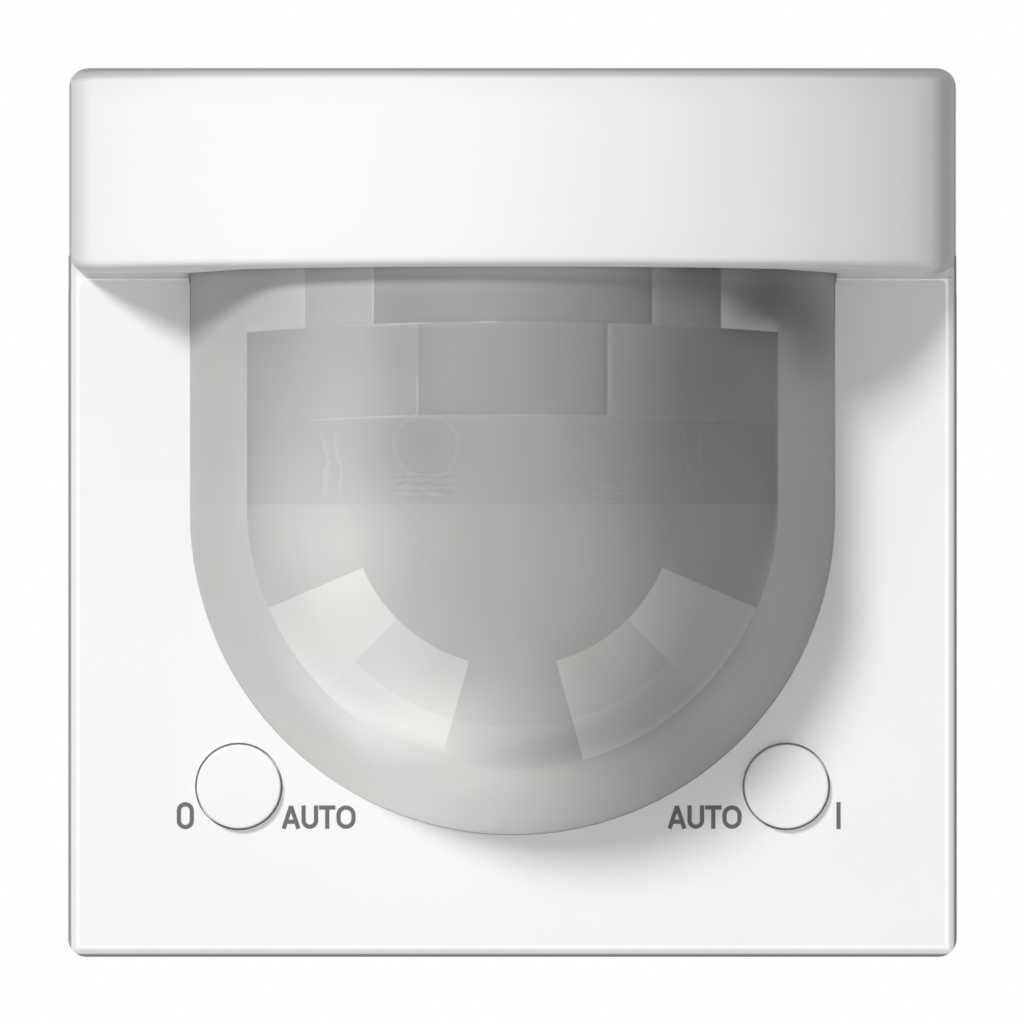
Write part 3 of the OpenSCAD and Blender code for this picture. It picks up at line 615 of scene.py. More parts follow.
def build_top_edge(name, side):
    """The plate's upper edge with the tongue behind it: a section in y and z carried outwards.

    The section is flat, turns a small round of CRISP_EDGE and steps down to the tongue. Towards
    the plate's side it stays under the quarter round of END_EDGE, so z is the lower of the two.
    """
    short, drop = quarter_round(CRISP_EDGE, CRISP_STEPS)
    side_short, side_drop = quarter_round(END_EDGE, CRISP_STEPS)
    face, rear, step = FACE - END_INSET, PLATE_BACK + OVERLAP, FACE - BAND_DEPTH
    edge, behind = PLATE_TOP - CRISP_INSET, HOOD_BOTTOM + STRIP_REACH
    y = np.concatenate([[END_LOW, END_LOW], edge - short, [edge, behind, behind]])
    z = np.concatenate([[rear, face], face - drop, [step, step, rear]])
    outer = HALF - 2 * END_INSET
    x = np.concatenate([[LENS_HALF + OVERLAP, outer - FLAT_STOP], outer - side_short])
    roof = np.concatenate([[face, face], face - side_drop])
    height = np.minimum(z[:, None], roof)
    rows, columns = height.shape
    faces = grid_faces(rows, columns, close_rows=True).tolist() + column_caps(rows, columns)
    piece = make_piece(name, stand(side * x, y[:, None], height), faces)
    piece.data.materials.append(white_plastic)
    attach(piece, "sensor_head")


build_top_edge("plate_edge_left", -1)
build_top_edge("plate_edge_right", 1)

# %% [markdown]
# ## The buttons
# Each button is a round cap that stands a little proud of the plate, with a flange behind the
# plate that keeps it in. The cap is a turned shape, so its profile is carried round a circle. A
# narrow step just below the plate's face leaves a fine shallow ring round the cap.

# %% Turn the buttons

CAP_RADIUS = 3.29
CAP_EDGE = 0.16
CAP_CROWN = 0.05
CAP_SIDES, CAP_STEPS, CROWN_STEPS = 96, 7, 8
STEP_RADIUS = 3.42
STEP_DEPTH = 0.55
SHOULDER = PLATE_BACK - 0.3


def build_button(node):
    """A profile of radius and height carried round the button's axis; the top is crowned by r^2."""
    low, high = face_box(node)
    centre, flange, top = (low + high) / 2, (high[0] - low[0]) / 2, high[2]
    short, drop = quarter_round(CAP_EDGE, CAP_STEPS)
    inner = np.linspace(0, CAP_RADIUS - CAP_EDGE, CROWN_STEPS)[:-1]
    edge_r, edge_z = CAP_RADIUS - short, top - CAP_CROWN - drop
    crown = top - CAP_CROWN * (inner / inner[-1]) ** 2
    step = FACE - STEP_DEPTH
    foot_r = [CAP_RADIUS, STEP_RADIUS, STEP_RADIUS, flange, flange, 0]
    foot_z = [step, step, SHOULDER, SHOULDER, low[2], low[2]]
    r, z = np.concatenate([inner, edge_r, foot_r]), np.concatenate([crown, edge_z, foot_z])
    angle = np.linspace(0, 2 * np.pi, CAP_SIDES, endpoint=False)
    x = centre[0] + r[:, None] * np.cos(angle)
    y = centre[1] + r[:, None] * np.sin(angle)
    faces = grid_faces(len(r), len(angle), close_columns=True).tolist()
    piece = make_piece(node + "_cap", stand(x, y, z[:, None]), faces)
    piece.data.materials.append(button_plastic)
    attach(piece, node)
    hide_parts(node)


build_button("off_button")
build_button("on_button")

# %% [markdown]
# ## The lens
# The lens is a thin milky shell: a dome whose lower end is round and whose upper end runs
# straight up under the hood. Its field is divided into segments, each a small lens of its own
# that looks in one direction. A plain dome could be painted with lines, but here the grid itself
# follows the segments: its lines fall on every boundary, a pair of close lines makes a fine
# groove there, and each face knows which segment it belongs to.

# %% Lines of the lens grid

OPTIC_CENTRE = 0.65
ROW_LINES = [7.6, 14.75]
ROW_BEND = 0.002
FAN_LINES = [23.0, 45.0, 74.5]
RING_LINES = [12.6, 17.3]
TOP_HALF, NO_CUT = 16.2, 99.0
ROW_CUTS = np.array([[NO_CUT, NO_CUT], [7.35, NO_CUT], [10.8, TOP_HALF]])
GROOVE_WIDTH, GROOVE_DEPTH = 0.16, 0.03
FIELD_STEP, ROW_STEP = 0.6, 0.9
FAN_STEP, FAN_CUT = 2.0, 0.5


def with_cuts(start, stop, step, cuts, width):
    """Even lines from start to stop, plus three close lines at every cut."""
    even = np.linspace(start, stop, int(abs(stop - start) / step) + 1)
    cuts = np.asarray(cuts)
    even = even[np.abs(even[:, None] - cuts).min(axis=1) > width]
    lines = np.concatenate([even, cuts - width / 2, cuts, cuts + width / 2])
    return np.sort(lines)


all_cuts = sorted({*RING_LINES, *ROW_CUTS[ROW_CUTS < OPTIC_HALF]})
field_r = with_cuts(0.0, OPTIC_HALF, FIELD_STEP, all_cuts, GROOVE_WIDTH)
arm_y = with_cuts(OPTIC_CENTRE, LENS_TOP, ROW_STEP, ROW_LINES, GROOVE_WIDTH)
mirrored = [180 - angle for angle in FAN_LINES]
fan_angle = with_cuts(0.0, 180.0, FAN_STEP, FAN_LINES + mirrored, FAN_CUT)
print("lens grid:", len(field_r), "radii,", len(arm_y), "rows,", len(fan_angle), "fan lines")

# %% Profile of the lens from its crown to its foot and back inside

BORDER_STEPS, LINING_STEPS = 14, 40
RIM_LINES = np.array([-0.4, -0.2, 0.1, 0.2, 0.45])
FLANGE_REACH, FLANGE_TOP = 0.8, 15.5
FOOT_FLARE, FLARE_DROP = 0.12, 0.05
LINING_GAP = 0.3


def lens_profile():
    """Radii and heights: out over the field and border, down to the flange, and back inside.

    A foot FOOT_FLARE wider than the outline fills the fine gap to the plate's opening.
    """
    border = np.linspace(OPTIC_HALF, LENS_HALF, BORDER_STEPS + 1)
    outer = np.unique(np.round(np.concatenate([field_r, border, OPTIC_HALF + RIM_LINES]), 4))
    foot = np.array([FOOT_FLARE, FOOT_FLARE, FLANGE_REACH, FLANGE_REACH, 0.0, -LENS_WALL])
    foot_z = [FACE - FLARE_DROP, PLATE_BACK, PLATE_BACK, LENS_REAR, LENS_REAR, LENS_REAR]
    bore = LENS_HALF - LENS_WALL
    inner = np.concatenate([[bore], np.linspace(bore - LINING_GAP, 0, LINING_STEPS)])
    inner_z = np.maximum(lens_height(inner, -LENS_WALL), PLATE_BACK)
    radii = np.concatenate([outer, LENS_HALF + foot, inner])
    heights = np.concatenate([lens_height(outer), foot_z, inner_z])
    return radii, heights, len(outer), len(inner)


profile_r, profile_z, outer_count, inner_count = lens_profile()
print("lens profile has", outer_count, "points outside and", inner_count, "inside")

# %% Carry the profile down one arm, round the fan and up the other arm


def lens_grid():
    """Bench x and y of every grid point: profile radius times a direction, from a moving centre.

    On the arms the direction is sideways and the centre climbs; round the fan the direction
    turns by 180 degrees. The field's centre lies OPTIC_CENTRE up, and the border leads it back
    to the outline's own centre.
    """
    back = np.clip((LENS_HALF - profile_r) / (LENS_HALF - OPTIC_HALF), 0, 1)
    centre = OPTIC_CENTRE * back
    climb = (arm_y - OPTIC_CENTRE) / (LENS_TOP - OPTIC_CENTRE)
    arm = centre + climb[::-1, None] * (LENS_TOP - centre)
    turn = -np.radians(fan_angle)[:, None]
    fan_x, fan_y = np.cos(turn) * profile_r, centre + np.sin(turn) * profile_r
    right_x = np.broadcast_to(profile_r, arm.shape)
    x = np.concatenate([right_x[:-1], fan_x, -right_x[1:]])
    y = np.concatenate([arm[:-1], fan_y, arm[::-1][1:]])
    return x, y


lens_x, lens_y = lens_grid()
print("lens grid is", lens_x.shape)

# %% Softer rim of the field and bend of the rows

FAN_SOFT = 35.0
RIM_ROUND, RIM_GROW = 2.4, 1.5


def fan_share(angle):
    """0 at both ends of the fan, 1 from FAN_SOFT degrees inwards."""
    return np.clip(np.minimum(angle, 180 - angle) / FAN_SOFT, 0, 1)


def rim_softness():
    """Softness of the field's rim on every grid line: crisp beside two rows, round elsewhere.

    It grows above the second row and, round the fan, within the first FAN_SOFT degrees.
    """
    above = np.clip((arm_y[::-1] - ROW_LINES[1]) / RIM_GROW, 0, 1)
    below = fan_share(fan_angle)
    share = np.concatenate([above[:-1], below, above[::-1][1:]])
    return RIM_CRISP + (RIM_ROUND - RIM_CRISP) * share**2 * (3 - 2 * share)


def row_bend():
    """How far the rows hang towards both sides: ROW_BEND * x^2 * 4 * climb * (1 - climb)."""
    climb = np.clip((lens_y - OPTIC_CENTRE) / (LENS_TOP - OPTIC_CENTRE), 0, 1)
    return ROW_BEND * np.minimum(np.abs(lens_x), OPTIC_HALF) ** 2 * 4 * climb * (1 - climb)


print("the rows hang by up to", round(row_bend().max(), 2), "mm")

# %% [markdown]
# Each face of the grid gets a painted tone. The segments turn the light differently, so
# neighbours look brighter or duller, and that light is painted into the tone: the fan alternates
# between bright and dull, and the rows above stay close together. A second value marks the
# grooves between the segments.

# %% Tones of the segments

# Painted light: the tones stand for how brightly each segment turns the light
BORDER_TONE = 0.41
DISC_TONE = 0.33
# Inner and outer ring, each from the side down to the middle; then the rows, middle and sides
FAN_TONES = np.array([[0.35, 0.57, 0.49, 0.32], [0.37, 0.57, 0.55, 0.36]])
ROW_TONES = np.array([[0.30, 0.30], [0.265, 0.32], [0.245, 0.365]])
LOW_SPAN, LOW_FAINT = (7.2, 15.5), 0.2
HIGH_SPAN, HIGH_FAINT = (-11.0, -1.0), 0.25
CUT_PLACES, CUT_MARKS = (-1, 1, 12, 13), (0.8, 0.3, 0.3, 0.0)
CUT_TOP, CUT_FADE, CUT_FAINT = 12.5, 3.0, 0.15


def within(value, span):
    """True where a value lies between both ends of a span."""
    return (value > span[0]) & (value < span[1])


def field_reach(y):
    """Half width of the field of segments, which is narrower above the second row."""
    return np.where(y > ROW_LINES[1], TOP_HALF, OPTIC_HALF)


def polar(x, y):
    """Distance from the field's centre, and the angle below its level in degrees."""
    return np.hypot(x, y - OPTIC_CENTRE), np.degrees(np.arctan2(OPTIC_CENTRE - y, x))


def segment_values(x, y):
    """Tone and groove mark at face centres, from the ring and sector of the fan or the row and cut."""
    side = np.abs(x)
    r, below = polar(side, y)
    in_fan = y < OPTIC_CENTRE
    in_field = np.where(in_fan, r, side) < field_reach(y)
    ring, row = np.digitize(r, RING_LINES) - 1, np.digitize(y, ROW_LINES)
    fan_tone = FAN_TONES[np.clip(ring, 0, 1), np.digitize(below, FAN_LINES)]
    row_tone = ROW_TONES[row, (side > ROW_CUTS[row, 0]).astype(int)]
    tone = np.where(in_fan, np.where(ring < 0, DISC_TONE, fan_tone), row_tone)
    low_line, high_line = (np.abs(y - level) < GROOVE_WIDTH / 2 for level in ROW_LINES)
    cut_line = (np.abs(side[..., None] - ROW_CUTS[row]) < GROOVE_WIDTH / 2).any(axis=-1)
    low_line = low_line * np.where(within(side, LOW_SPAN), 1.0, LOW_FAINT)
    high_line = high_line * np.where(within(x, HIGH_SPAN), 1.0, HIGH_FAINT)
    fading = np.where(row == 1, np.clip((CUT_TOP - y) / CUT_FADE, CUT_FAINT, 1), 1.0)
    cut_line = cut_line * np.interp(x, CUT_PLACES, CUT_MARKS) * fading
    groove = np.maximum(np.maximum(low_line, high_line), cut_line) * (in_field & ~in_fan)
    return np.where(in_field, tone, BORDER_TONE), groove


# %% Painted light and shade over the lens

FIELD_EDGE, FIELD_FADE = 23.0, 4.5
# Painted light and shade: lighter to the lower left, darker to the right and in the hood's shadow
PAINTED_PATCHES = [
    (-8, -22, 10, 8, 0.55), (-15, -2, 7, 9, 0.19), (-14, 9, 6, 9, 0.12), (-8, 5, 4, 4, -0.09),
    (-18, -15, 6, 6, 0.16), (14, -19, 6, 6, -0.13), (23.5, -2, 4, 20, -0.14), (1, -22.5, 6, 4, 0.08),
    (20.5, 17.8, 4, 2.8, -0.33), (23.2, 14.3, 2.6, 2.8, -0.18), (18, 16, 2.2, 1.6, -0.13),
    (14, 19.5, 4, 2.2, -0.3), (0, 19.2, 14, 1, 0.32), (-22, -8, 4, 6, 0.08), (-14, -2.5, 4, 4, 0.08),
    (-8.5, 12.5, 2.5, 4.5, -0.09), (15.5, 11, 4, 6, -0.09), (-18.5, 3, 2.5, 5, 0.07),
    (6, -5, 6, 9, 0.06), (-19, 16, 3.5, 2, -0.07), (5.3, -11.8, 2.6, 2.2, -0.06),
    (-5.3, -11.8, 2.4, 2.2, -0.06), (-9.5, -18.8, 4, 1.6, 0.05), (18, -10.5, 3, 4.5, -0.06),
]
# Painted light and shade in two arcs on the rim of the fan, one lighter and one darker
PAINTED_RIM_LIGHT = [(112, 28, 21.0, 1.6, 0.26), (48, 22, 20.0, 0.9, -0.16)]


def field_share(x, y):
    """How far a point belongs to the field: 1 inside it, 0 on the border, fading out round the fan."""
    r, angle = polar(x, y)
    soft, crisp = np.clip((FIELD_EDGE - r) / FIELD_FADE, 0, 1), r < OPTIC_HALF
    round_share = crisp + (soft - crisp) * fan_share(angle)
    return np.where(y < OPTIC_CENTRE, round_share, np.abs(x) < field_reach(y))


def painted_light_patches(x, y):
    """Soft patches of painted light and shade: sum of amount * exp(-(dx / rx)^2 - (dy / ry)^2).

    An entry is (x, y, rx, ry, amount). Two arcs of painted light and shade of the same
    kind, (angle, spread, radius, width, amount), lie on the rim of the fan.
    """
    x0, y0, rx, ry, amount = np.array(PAINTED_PATCHES, float).T
    fall = ((x[..., None] - x0) / rx) ** 2 + ((y[..., None] - y0) / ry) ** 2
    at, spread, radius, width, rim_light = np.array(PAINTED_RIM_LIGHT, float).T
    r, angle = polar(x, y)
    away = ((angle[..., None] - at) / spread) ** 2 + ((r[..., None] - radius) / width) ** 2
    return (amount * np.exp(-fall)).sum(axis=-1) + (rim_light * np.exp(-away)).sum(axis=-1)


# %% Build the lens


def groove_points():
    """Grid points in the middle of a groove, which are pressed in by GROOVE_DEPTH."""
    _, groove = segment_values(lens_x, lens_y)
    outside = np.arange(len(profile_r)) < outer_count
    return (groove > 0) & outside


def face_centres(grid):
    """Mean of the four corners of every quad of a grid."""
    return (grid[:-1, :-1] + grid[1:, :-1] + grid[1:, 1:] + grid[:-1, 1:]) / 4


def build_lens():
    """Closed shell of the lens with the tone and the groove mark of every face."""
    index = np.arange(len(profile_r))
    soft = rim_softness()[:, None]
    skin = lens_height(profile_r, soft=soft)
    lining = np.maximum(lens_height(profile_r, -LENS_WALL, soft), PLATE_BACK)
    z = np.where(index >= len(profile_r) - inner_count, lining, profile_z)
    z = np.where(index < outer_count, skin, z) - GROOVE_DEPTH * groove_points()
    flange = (profile_r > LENS_HALF + FOOT_FLARE) & (lens_y > FLANGE_TOP)
    x = np.where(flange, np.sign(lens_x) * LENS_HALF, lens_x)
    rows, columns = x.shape
    faces = grid_faces(rows, columns).tolist() + row_caps(rows, columns)
    values = segment_values(face_centres(lens_x), face_centres(lens_y))
    tone, groove = (np.append(part.ravel(), [0, 0]).astype(float) for part in values)
    field, cloud = (part(lens_x, lens_y).astype(float).ravel() for part in (field_share, painted_light_patches))
    return make_piece(
        "segment_lens", stand(x, lens_y - row_bend(), z), faces, sharp=50,
        tone=tone, groove=groove, field=field, cloud=cloud,
    )


segment_lens = build_lens()

# %% [markdown]
# The lens plastic is milky: it lets some light into the wall and scatters it, so it looks grey
# against the dark inside. Its light and shade are painted into its colour: brighter towards the
# round lower end and on the left, darker on the right and under the hood. A mix of two greys
# follows the painted tone of each segment, with a cloudy drift, a faint green-grey tint, and
# ripples where the finest rings of two segments show.

# %% Ripples of the lens

RIPPLE_PLACES = [(-6.7, 5.1), (6.7, 4.6)]
RING_PITCH, RING_BAND, RING_MARK = 0.9, (1.4, 2.4, 2.6, 3.2), 0.2
STREAK_PITCH, STREAK_BAND, STREAK_MARK = 0.55, (1.6, 2.3, 3.7, 4.3), 0.45
STREAK_WIDTH = (1.6, 3.0)
WAVY_LINES, WAVY_BAND, WAVY_MARK = (13.6, 14.5), (0.9, 1.8, 5.6, 7.0), 0.8
WAVY_EDGE = (0.04, 0.16)
RING_WOBBLE, STREAK_WAVE, LINE_SWAY = (1.8, 0.9), (1.1, 1.1), (2.4, 2.0)  # lumps and reach
WAVE_STRETCH = (1, 1, 2.5)
FAINT_SIDE, FAINT_EDGE = 0.6, (-6.0, 6.0)


def band(value, edges):
    """Rises smoothly from 0 to 1 over the first two edges and falls again over the last two."""
    return value.step(*edges[:2]) * (1 - value.step(*edges[2:]))


def lens_ripples(finish, x, y):
    """Two sets of faint rings with wavy streaks below them and pairs of upright lines, from -1 to 1.

    A ring is sin(2 pi r / pitch) and a streak sin(2 pi y / pitch), both bent by noise. On the
    right they are fainter.
    """
    wobble = finish.noise(RING_WOBBLE[0]) * RING_WOBBLE[1]
    waves = finish.noise(STREAK_WAVE[0], stretch=WAVE_STRETCH) * STREAK_WAVE[1]
    marks = 0
    for centre_x, centre_y in RIPPLE_PLACES:
        dx, dy = x - centre_x, y - centre_y
        reach = (dx * dx + dy * dy).math("SQRT")
        ring = ((reach + wobble) * (2 * np.pi / RING_PITCH)).math("SINE")
        streak = ((dy + waves) * (2 * np.pi / STREAK_PITCH)).math("SINE")
        width = 1 - dx.math("ABSOLUTE").step(*STREAK_WIDTH)
        rings = ring * band(reach, RING_BAND) * RING_MARK
        marks = rings + streak * band(0 - dy, STREAK_BAND) * width * STREAK_MARK + marks
    sway = finish.drift(*LINE_SWAY)
    for place in WAVY_LINES:
        gap = (x.math("ABSOLUTE") + sway - place).math("ABSOLUTE")
        marks = (1 - gap.step(*WAVY_EDGE)) * band(y, WAVY_BAND) * WAVY_MARK + marks
    return marks * (FAINT_SIDE + (1 - FAINT_SIDE) * (0 - x).step(*FAINT_EDGE))


# %% Lens finish

LENS_DEEP = (0.13, 0.135, 0.132)
LENS_COOL = (0.91, 0.935, 0.925)
LENS_WARM = (0.94, 0.935, 0.905)
WARM_LUMPS, WARM_SEED, WARM_EDGE = 9.0, (3, 1, 2), (0.35, 0.65)
MILK_LUMPS, MILK_DRIFT, RIPPLE_MILK = 14.0, 0.08, 0.07
BREAK_LUMPS, BREAK_EDGE = 7.0, (0.42, 0.62)
# Painted highlight: the grooves between segments are painted lighter, in broken stretches
GROOVE_FAINT, GROOVE_GAIN = 0.03, 0.14
LENS_SHINE, LENS_LUMPS, LENS_DRIFT = 0.52, 6.0, 0.1
RIPPLE_RISE, GRAIN_SIZE, GRAIN_RISE, SKIN_DEPTH = 0.3, 0.3, 0.1, 0.02
PRISM_ACROSS, PRISM_LEAN, PRISM_LIFT = 0.05, 0.22, 0.035


def lens_plastic():
    """Milky plastic: painted tones and light and shade, broken lines, ripples and turned facets.

    A facet is a prism: its height is -ACROSS x^2 / 2 - LEAN x, plus LIFT y^2 / 2 below the centre.
    """
    finish = Finish("lens_plastic", IOR=1.5, Specular_IOR_Level=0.2)
    x, y, _ = finish.axes()
    tone, groove, field, cloud = (finish.mark(name) for name in ("tone", "groove", "field", "cloud"))
    ripples = lens_ripples(finish, x, y)
    # Painted highlight along the grooves, in broken stretches
    groove_highlight = GROOVE_FAINT + GROOVE_GAIN * finish.noise(BREAK_LUMPS).step(*BREAK_EDGE)
    drift = finish.drift(MILK_LUMPS, MILK_DRIFT)
    # Milky drift and ripples, with painted light and shade: segment tones, patches, groove lines
    milk_and_painted_light = tone + cloud + drift + groove * groove_highlight + ripples * RIPPLE_MILK
    milk_and_painted_light = milk_and_painted_light.math("ADD", 0.0, clamp=True)
    warm = finish.noise(WARM_LUMPS, seed=WARM_SEED).step(*WARM_EDGE)
    finish.feed("Base Color", finish.mix(milk_and_painted_light, LENS_DEEP, finish.mix(warm, LENS_COOL, LENS_WARM)))
    finish.feed("Roughness", LENS_SHINE + finish.drift(LENS_LUMPS, LENS_DRIFT))
    plain = finish.bump(ripples * RIPPLE_RISE + finish.noise(GRAIN_SIZE) * GRAIN_RISE, SKIN_DEPTH)
    low = (y - OPTIC_CENTRE).math("MINIMUM", 0.0)
    across = x * x * (-0.5 * PRISM_ACROSS) - x * PRISM_LEAN
    prism = finish.bump(across + low * low * (0.5 * PRISM_LIFT), normal=plain)
    finish.feed("Normal", finish.mix_normals(field, plain, prism))
    return finish.material


lens_finish = lens_plastic()
segment_lens.data.materials.append(lens_finish)
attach(segment_lens, "sensor_head")
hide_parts("lens")

# %% [markdown]
# ## Printed signs
# The plate carries plain signs beside its buttons: 0 and I for off and on, and AUTO. A text
# object would bring a font with it; drawing each stroke as a thin ribbon keeps the simple,
# even line of a printed sign. A stroke is a path with a width, and every letter is a few paths.

# %% Strokes of the signs

STROKE = 0.33
LETTER_WIDTHS = {"A": 1.5, "U": 1.31, "T": 1.29, "O": 1.51, "0": 1.34, "I": STROKE}
LETTER_GAP = 0.075
BEND_POINTS = 17
TIP_DROP, BAR_SHARE = 0.05, 0.3


def line(*points):
    """Straight stroke through the points."""
    return np.array(points, float), False


def bend(centre, radius, start, stop):
    """Part of a circle about a centre, from one angle to another in degrees."""
    angle = np.radians(np.linspace(start, stop, BEND_POINTS))
    return np.array(centre) + radius * np.stack([np.cos(angle), np.sin(angle)], axis=-1)


def stadium(width, height):
    """Closed stroke of a tall round letter: two half rounds joined by straight sides."""
    r = (width - STROKE) / 2
    top, low = height - STROKE / 2 - r, STROKE / 2 + r
    upper = bend((width / 2, top), r, 0, 180)
    lower = bend((width / 2, low), r, 180, 360)
    return np.concatenate([upper, lower]), True


def letter_strokes(letter, width, height):
    """The strokes of one letter in a box of this width and height, from its lower left corner."""
    edge = STROKE / 2
    left, right, middle, top = edge, width - edge, width / 2, height - edge
    if letter == "A":
        bar = height * BAR_SHARE
        inset = (middle - left) * bar / top
        tip = (middle, height - TIP_DROP)
        legs = [line((foot, 0), tip) for foot in (left, right)]
        return [*legs, line((left + inset, bar), (right - inset, bar))]
    if letter == "U":
        r = (width - STROKE) / 2
        curve = bend((middle, edge + r), r, 180, 360)
        return [(np.concatenate([[(left, height)], curve, [(right, height)]]), False)]
    if letter == "T":
        return [line((0, top), (width, top)), line((middle, 0), (middle, top - edge / 2))]
    if letter == "I":
        return [line((middle, 0), (middle, height))]
    return [stadium(width, height)]


# %% Ribbons and words

INK_HEIGHT, INK_STEP = 0.02, 0.3
SHARPEST_MITRE = 0.4


def unit(vectors):
    """Vectors of the same direction and of length 1."""
    return vectors / np.maximum(np.linalg.norm(vectors, axis=1, keepdims=True), 1e-9)


def ribbon(path, closed, place, thick):
    """A flat bar of STROKE width along a path: points of its four edges, with mitred corners."""
    following = np.roll(path, -1, axis=0) - path
    following[-1] = following[-1] if closed else following[-2]
    leading = np.roll(following, 1, axis=0)
    leading[0] = leading[0] if closed else following[0]
    tangent = unit(unit(leading) + unit(following))
    turn = (tangent * unit(following)).sum(axis=1, keepdims=True)
    mitre = np.clip(turn, SHARPEST_MITRE, 1)
    side = np.stack([-tangent[:, 1], tangent[:, 0]], axis=-1) * STROKE / 2 / mitre
    left, right = path + side + place, path - side + place
    edges = np.stack([left, right, right, left], axis=1)
    heights = FACE + np.array([thick, thick, -INK_HEIGHT, -INK_HEIGHT])
    return stand(edges[..., 0], edges[..., 1], heights)


def build_sign(name, letters, x, y, height):
    """A word from its lower left corner, as closed thin bars; a letter's later bars are thinner."""
    points, faces, count = [], [], 0
    for letter in letters:
        place = np.array([x, y])
        x += LETTER_WIDTHS[letter] + LETTER_GAP
        for order, (path, closed) in enumerate(letter_strokes(letter, LETTER_WIDTHS[letter], height)):
            bars = ribbon(path, closed, place, INK_HEIGHT * (1 - INK_STEP * order))
            rows = len(bars)
            quads = grid_faces(rows, 4, close_rows=closed, close_columns=True).tolist()
            caps = [] if closed else row_caps(rows, 4)
            faces += (np.array(quads + caps) + count).tolist()
            points.append(bars.reshape(-1, 3))
            count += 4 * rows
    sign = make_piece(name, np.concatenate(points), faces)
    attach(sign, "sensor_head")
    return sign


# %% Print the signs

SIGN_INK = (0.13, 0.13, 0.135)
sign_ink = moulded_plastic("sign_ink", SIGN_INK, 0.6, drift=0.08, grain=0.1, depth=0.001)
WORD_LOW, WORD_HEIGHT = -24.89, 1.84
NUMBER_LOW, NUMBER_HEIGHT = -24.92, 2.13
signs = [
    build_sign("sign_0", "0", -26.43, NUMBER_LOW, NUMBER_HEIGHT),
    build_sign("sign_auto_left", "AUTO", -18.19, WORD_LOW, WORD_HEIGHT),
    build_sign("sign_auto_right", "AUTO", 12.2, WORD_LOW, WORD_HEIGHT),
    build_sign("sign_I", "I", 25.5, NUMBER_LOW, NUMBER_HEIGHT),
]
for sign in signs:
    sign.data.materials.append(sign_ink)

# %% [markdown]
# ## Finishes of the other pieces
# The remaining pieces keep their exact shapes from the frame and only need a finish: zinc-plated
# sheet for the ring, moulded plastics in greys and black, green laminate for the boards, brass
# for the clamps, and the shiny bodies of the small electrical parts.

# %% Metal, laminate and resin finishes


def plated_metal(name, colour, shine, stretch=(1, 1, 1)):
    """Plated metal: patches of colour over 2 mm and fine rolling marks in roughness and bump."""
    finish = Finish(name, Metallic=1.0)
    patches = finish.noise(2.0, detail=4.0)
    finish.feed("Base Color", finish.shades(patches, colour, 0.82, 1.12))
    marks = finish.noise(0.25, stretch=stretch)
    finish.feed("Roughness", shine + (marks - 0.5) * 0.2)
    finish.feed("Normal", finish.bump(marks, 0.004))
    return finish.material


def board_laminate(name, colour):
    """Glass-cloth laminate: a fine weave under green lacquer."""
    finish = Finish(name)
    x, y, _ = finish.axes()
    weave = (x * 9.0).math("SINE") * (y * 9.0).math("SINE") * 0.25 + 0.5
    cloud = weave * 0.6 + finish.noise(5.0) * 0.4
    finish.feed("Base Color", finish.shades(cloud, colour, 0.75, 1.3))
    finish.feed("Roughness", 0.35 + finish.noise(3.0) * 0.1)
    finish.feed("Normal", finish.bump(weave, 0.004))
    return finish.material


def clear_resin(name, colour):
    """Cast resin of a small lamp or cell: glossy, with a cloudy core."""
    finish = Finish(name, Coat_Weight=0.6, Coat_Roughness=0.05, IOR=1.55)
    finish.feed("Base Color", finish.shades(finish.noise(1.5), colour, 0.7, 1.2))
    finish.feed("Roughness", 0.15 + finish.noise(1.0) * 0.1)
    return finish.material


# %% Give every node its finish

METAL_SHINE = {"ring_steel": 0.36, "screw_steel": 0.3, "can_metal": 0.25, "clamp_brass": 0.3}
ROLLED = {"ring_steel": (1, 1, 8)}
RESINS = {"cell_resin", "lamp_resin", "window_glass"}
GLOSSY = {"capacitor_sleeve", "film_case", "varistor_coat"}
GLOSSY_SHINE, DULL_SHINE = 0.28, 0.5


def slot_finish(slot, colour):
    """The finish of a material slot, by what its pieces are made of."""
    if slot in METAL_SHINE:
        return plated_metal(slot, colour, METAL_SHINE[slot], ROLLED.get(slot, (1, 1, 1)))
    if slot in RESINS:
        return clear_resin(slot, colour)
    if slot == "board_laminate":
        return board_laminate(slot, colour)
    shine = GLOSSY_SHINE if slot in GLOSSY else DULL_SHINE
    return moulded_plastic(slot, colour, shine, drift=0.08, depth=0.006)


slot_colours = {row["slot"]: tuple(row["base_color"]) for row in frame["record"]["materials"]}
finishes = {
    "white_plastic": white_plastic, "button_plastic": button_plastic, "lens_plastic": lens_finish
}
for row in frame["record"]["subparts"]:
    name, slot = row["node"], row["material_slot"]
    if slot not in finishes:
        finishes[slot] = slot_finish(slot, slot_colours[slot])
    materials = NODES[name].data.materials
    materials.clear()
    materials.append(finishes[slot])
print(len(finishes), "finishes on", len(NODES), "nodes")

# %% [markdown]
# ## Floor, light and camera
# The picture has a white ground and soft light from the upper left. The world shows plain white
# to the camera, to gloss and to glass, but gives the object only a weak light that is a little
# stronger in front. A small soft key lamp makes the shadows.

# %% Pale floor below the object

FLOOR_DROP, FLOOR_HALF = 0.04, 0.5
FLOOR_WHITE = 0.65


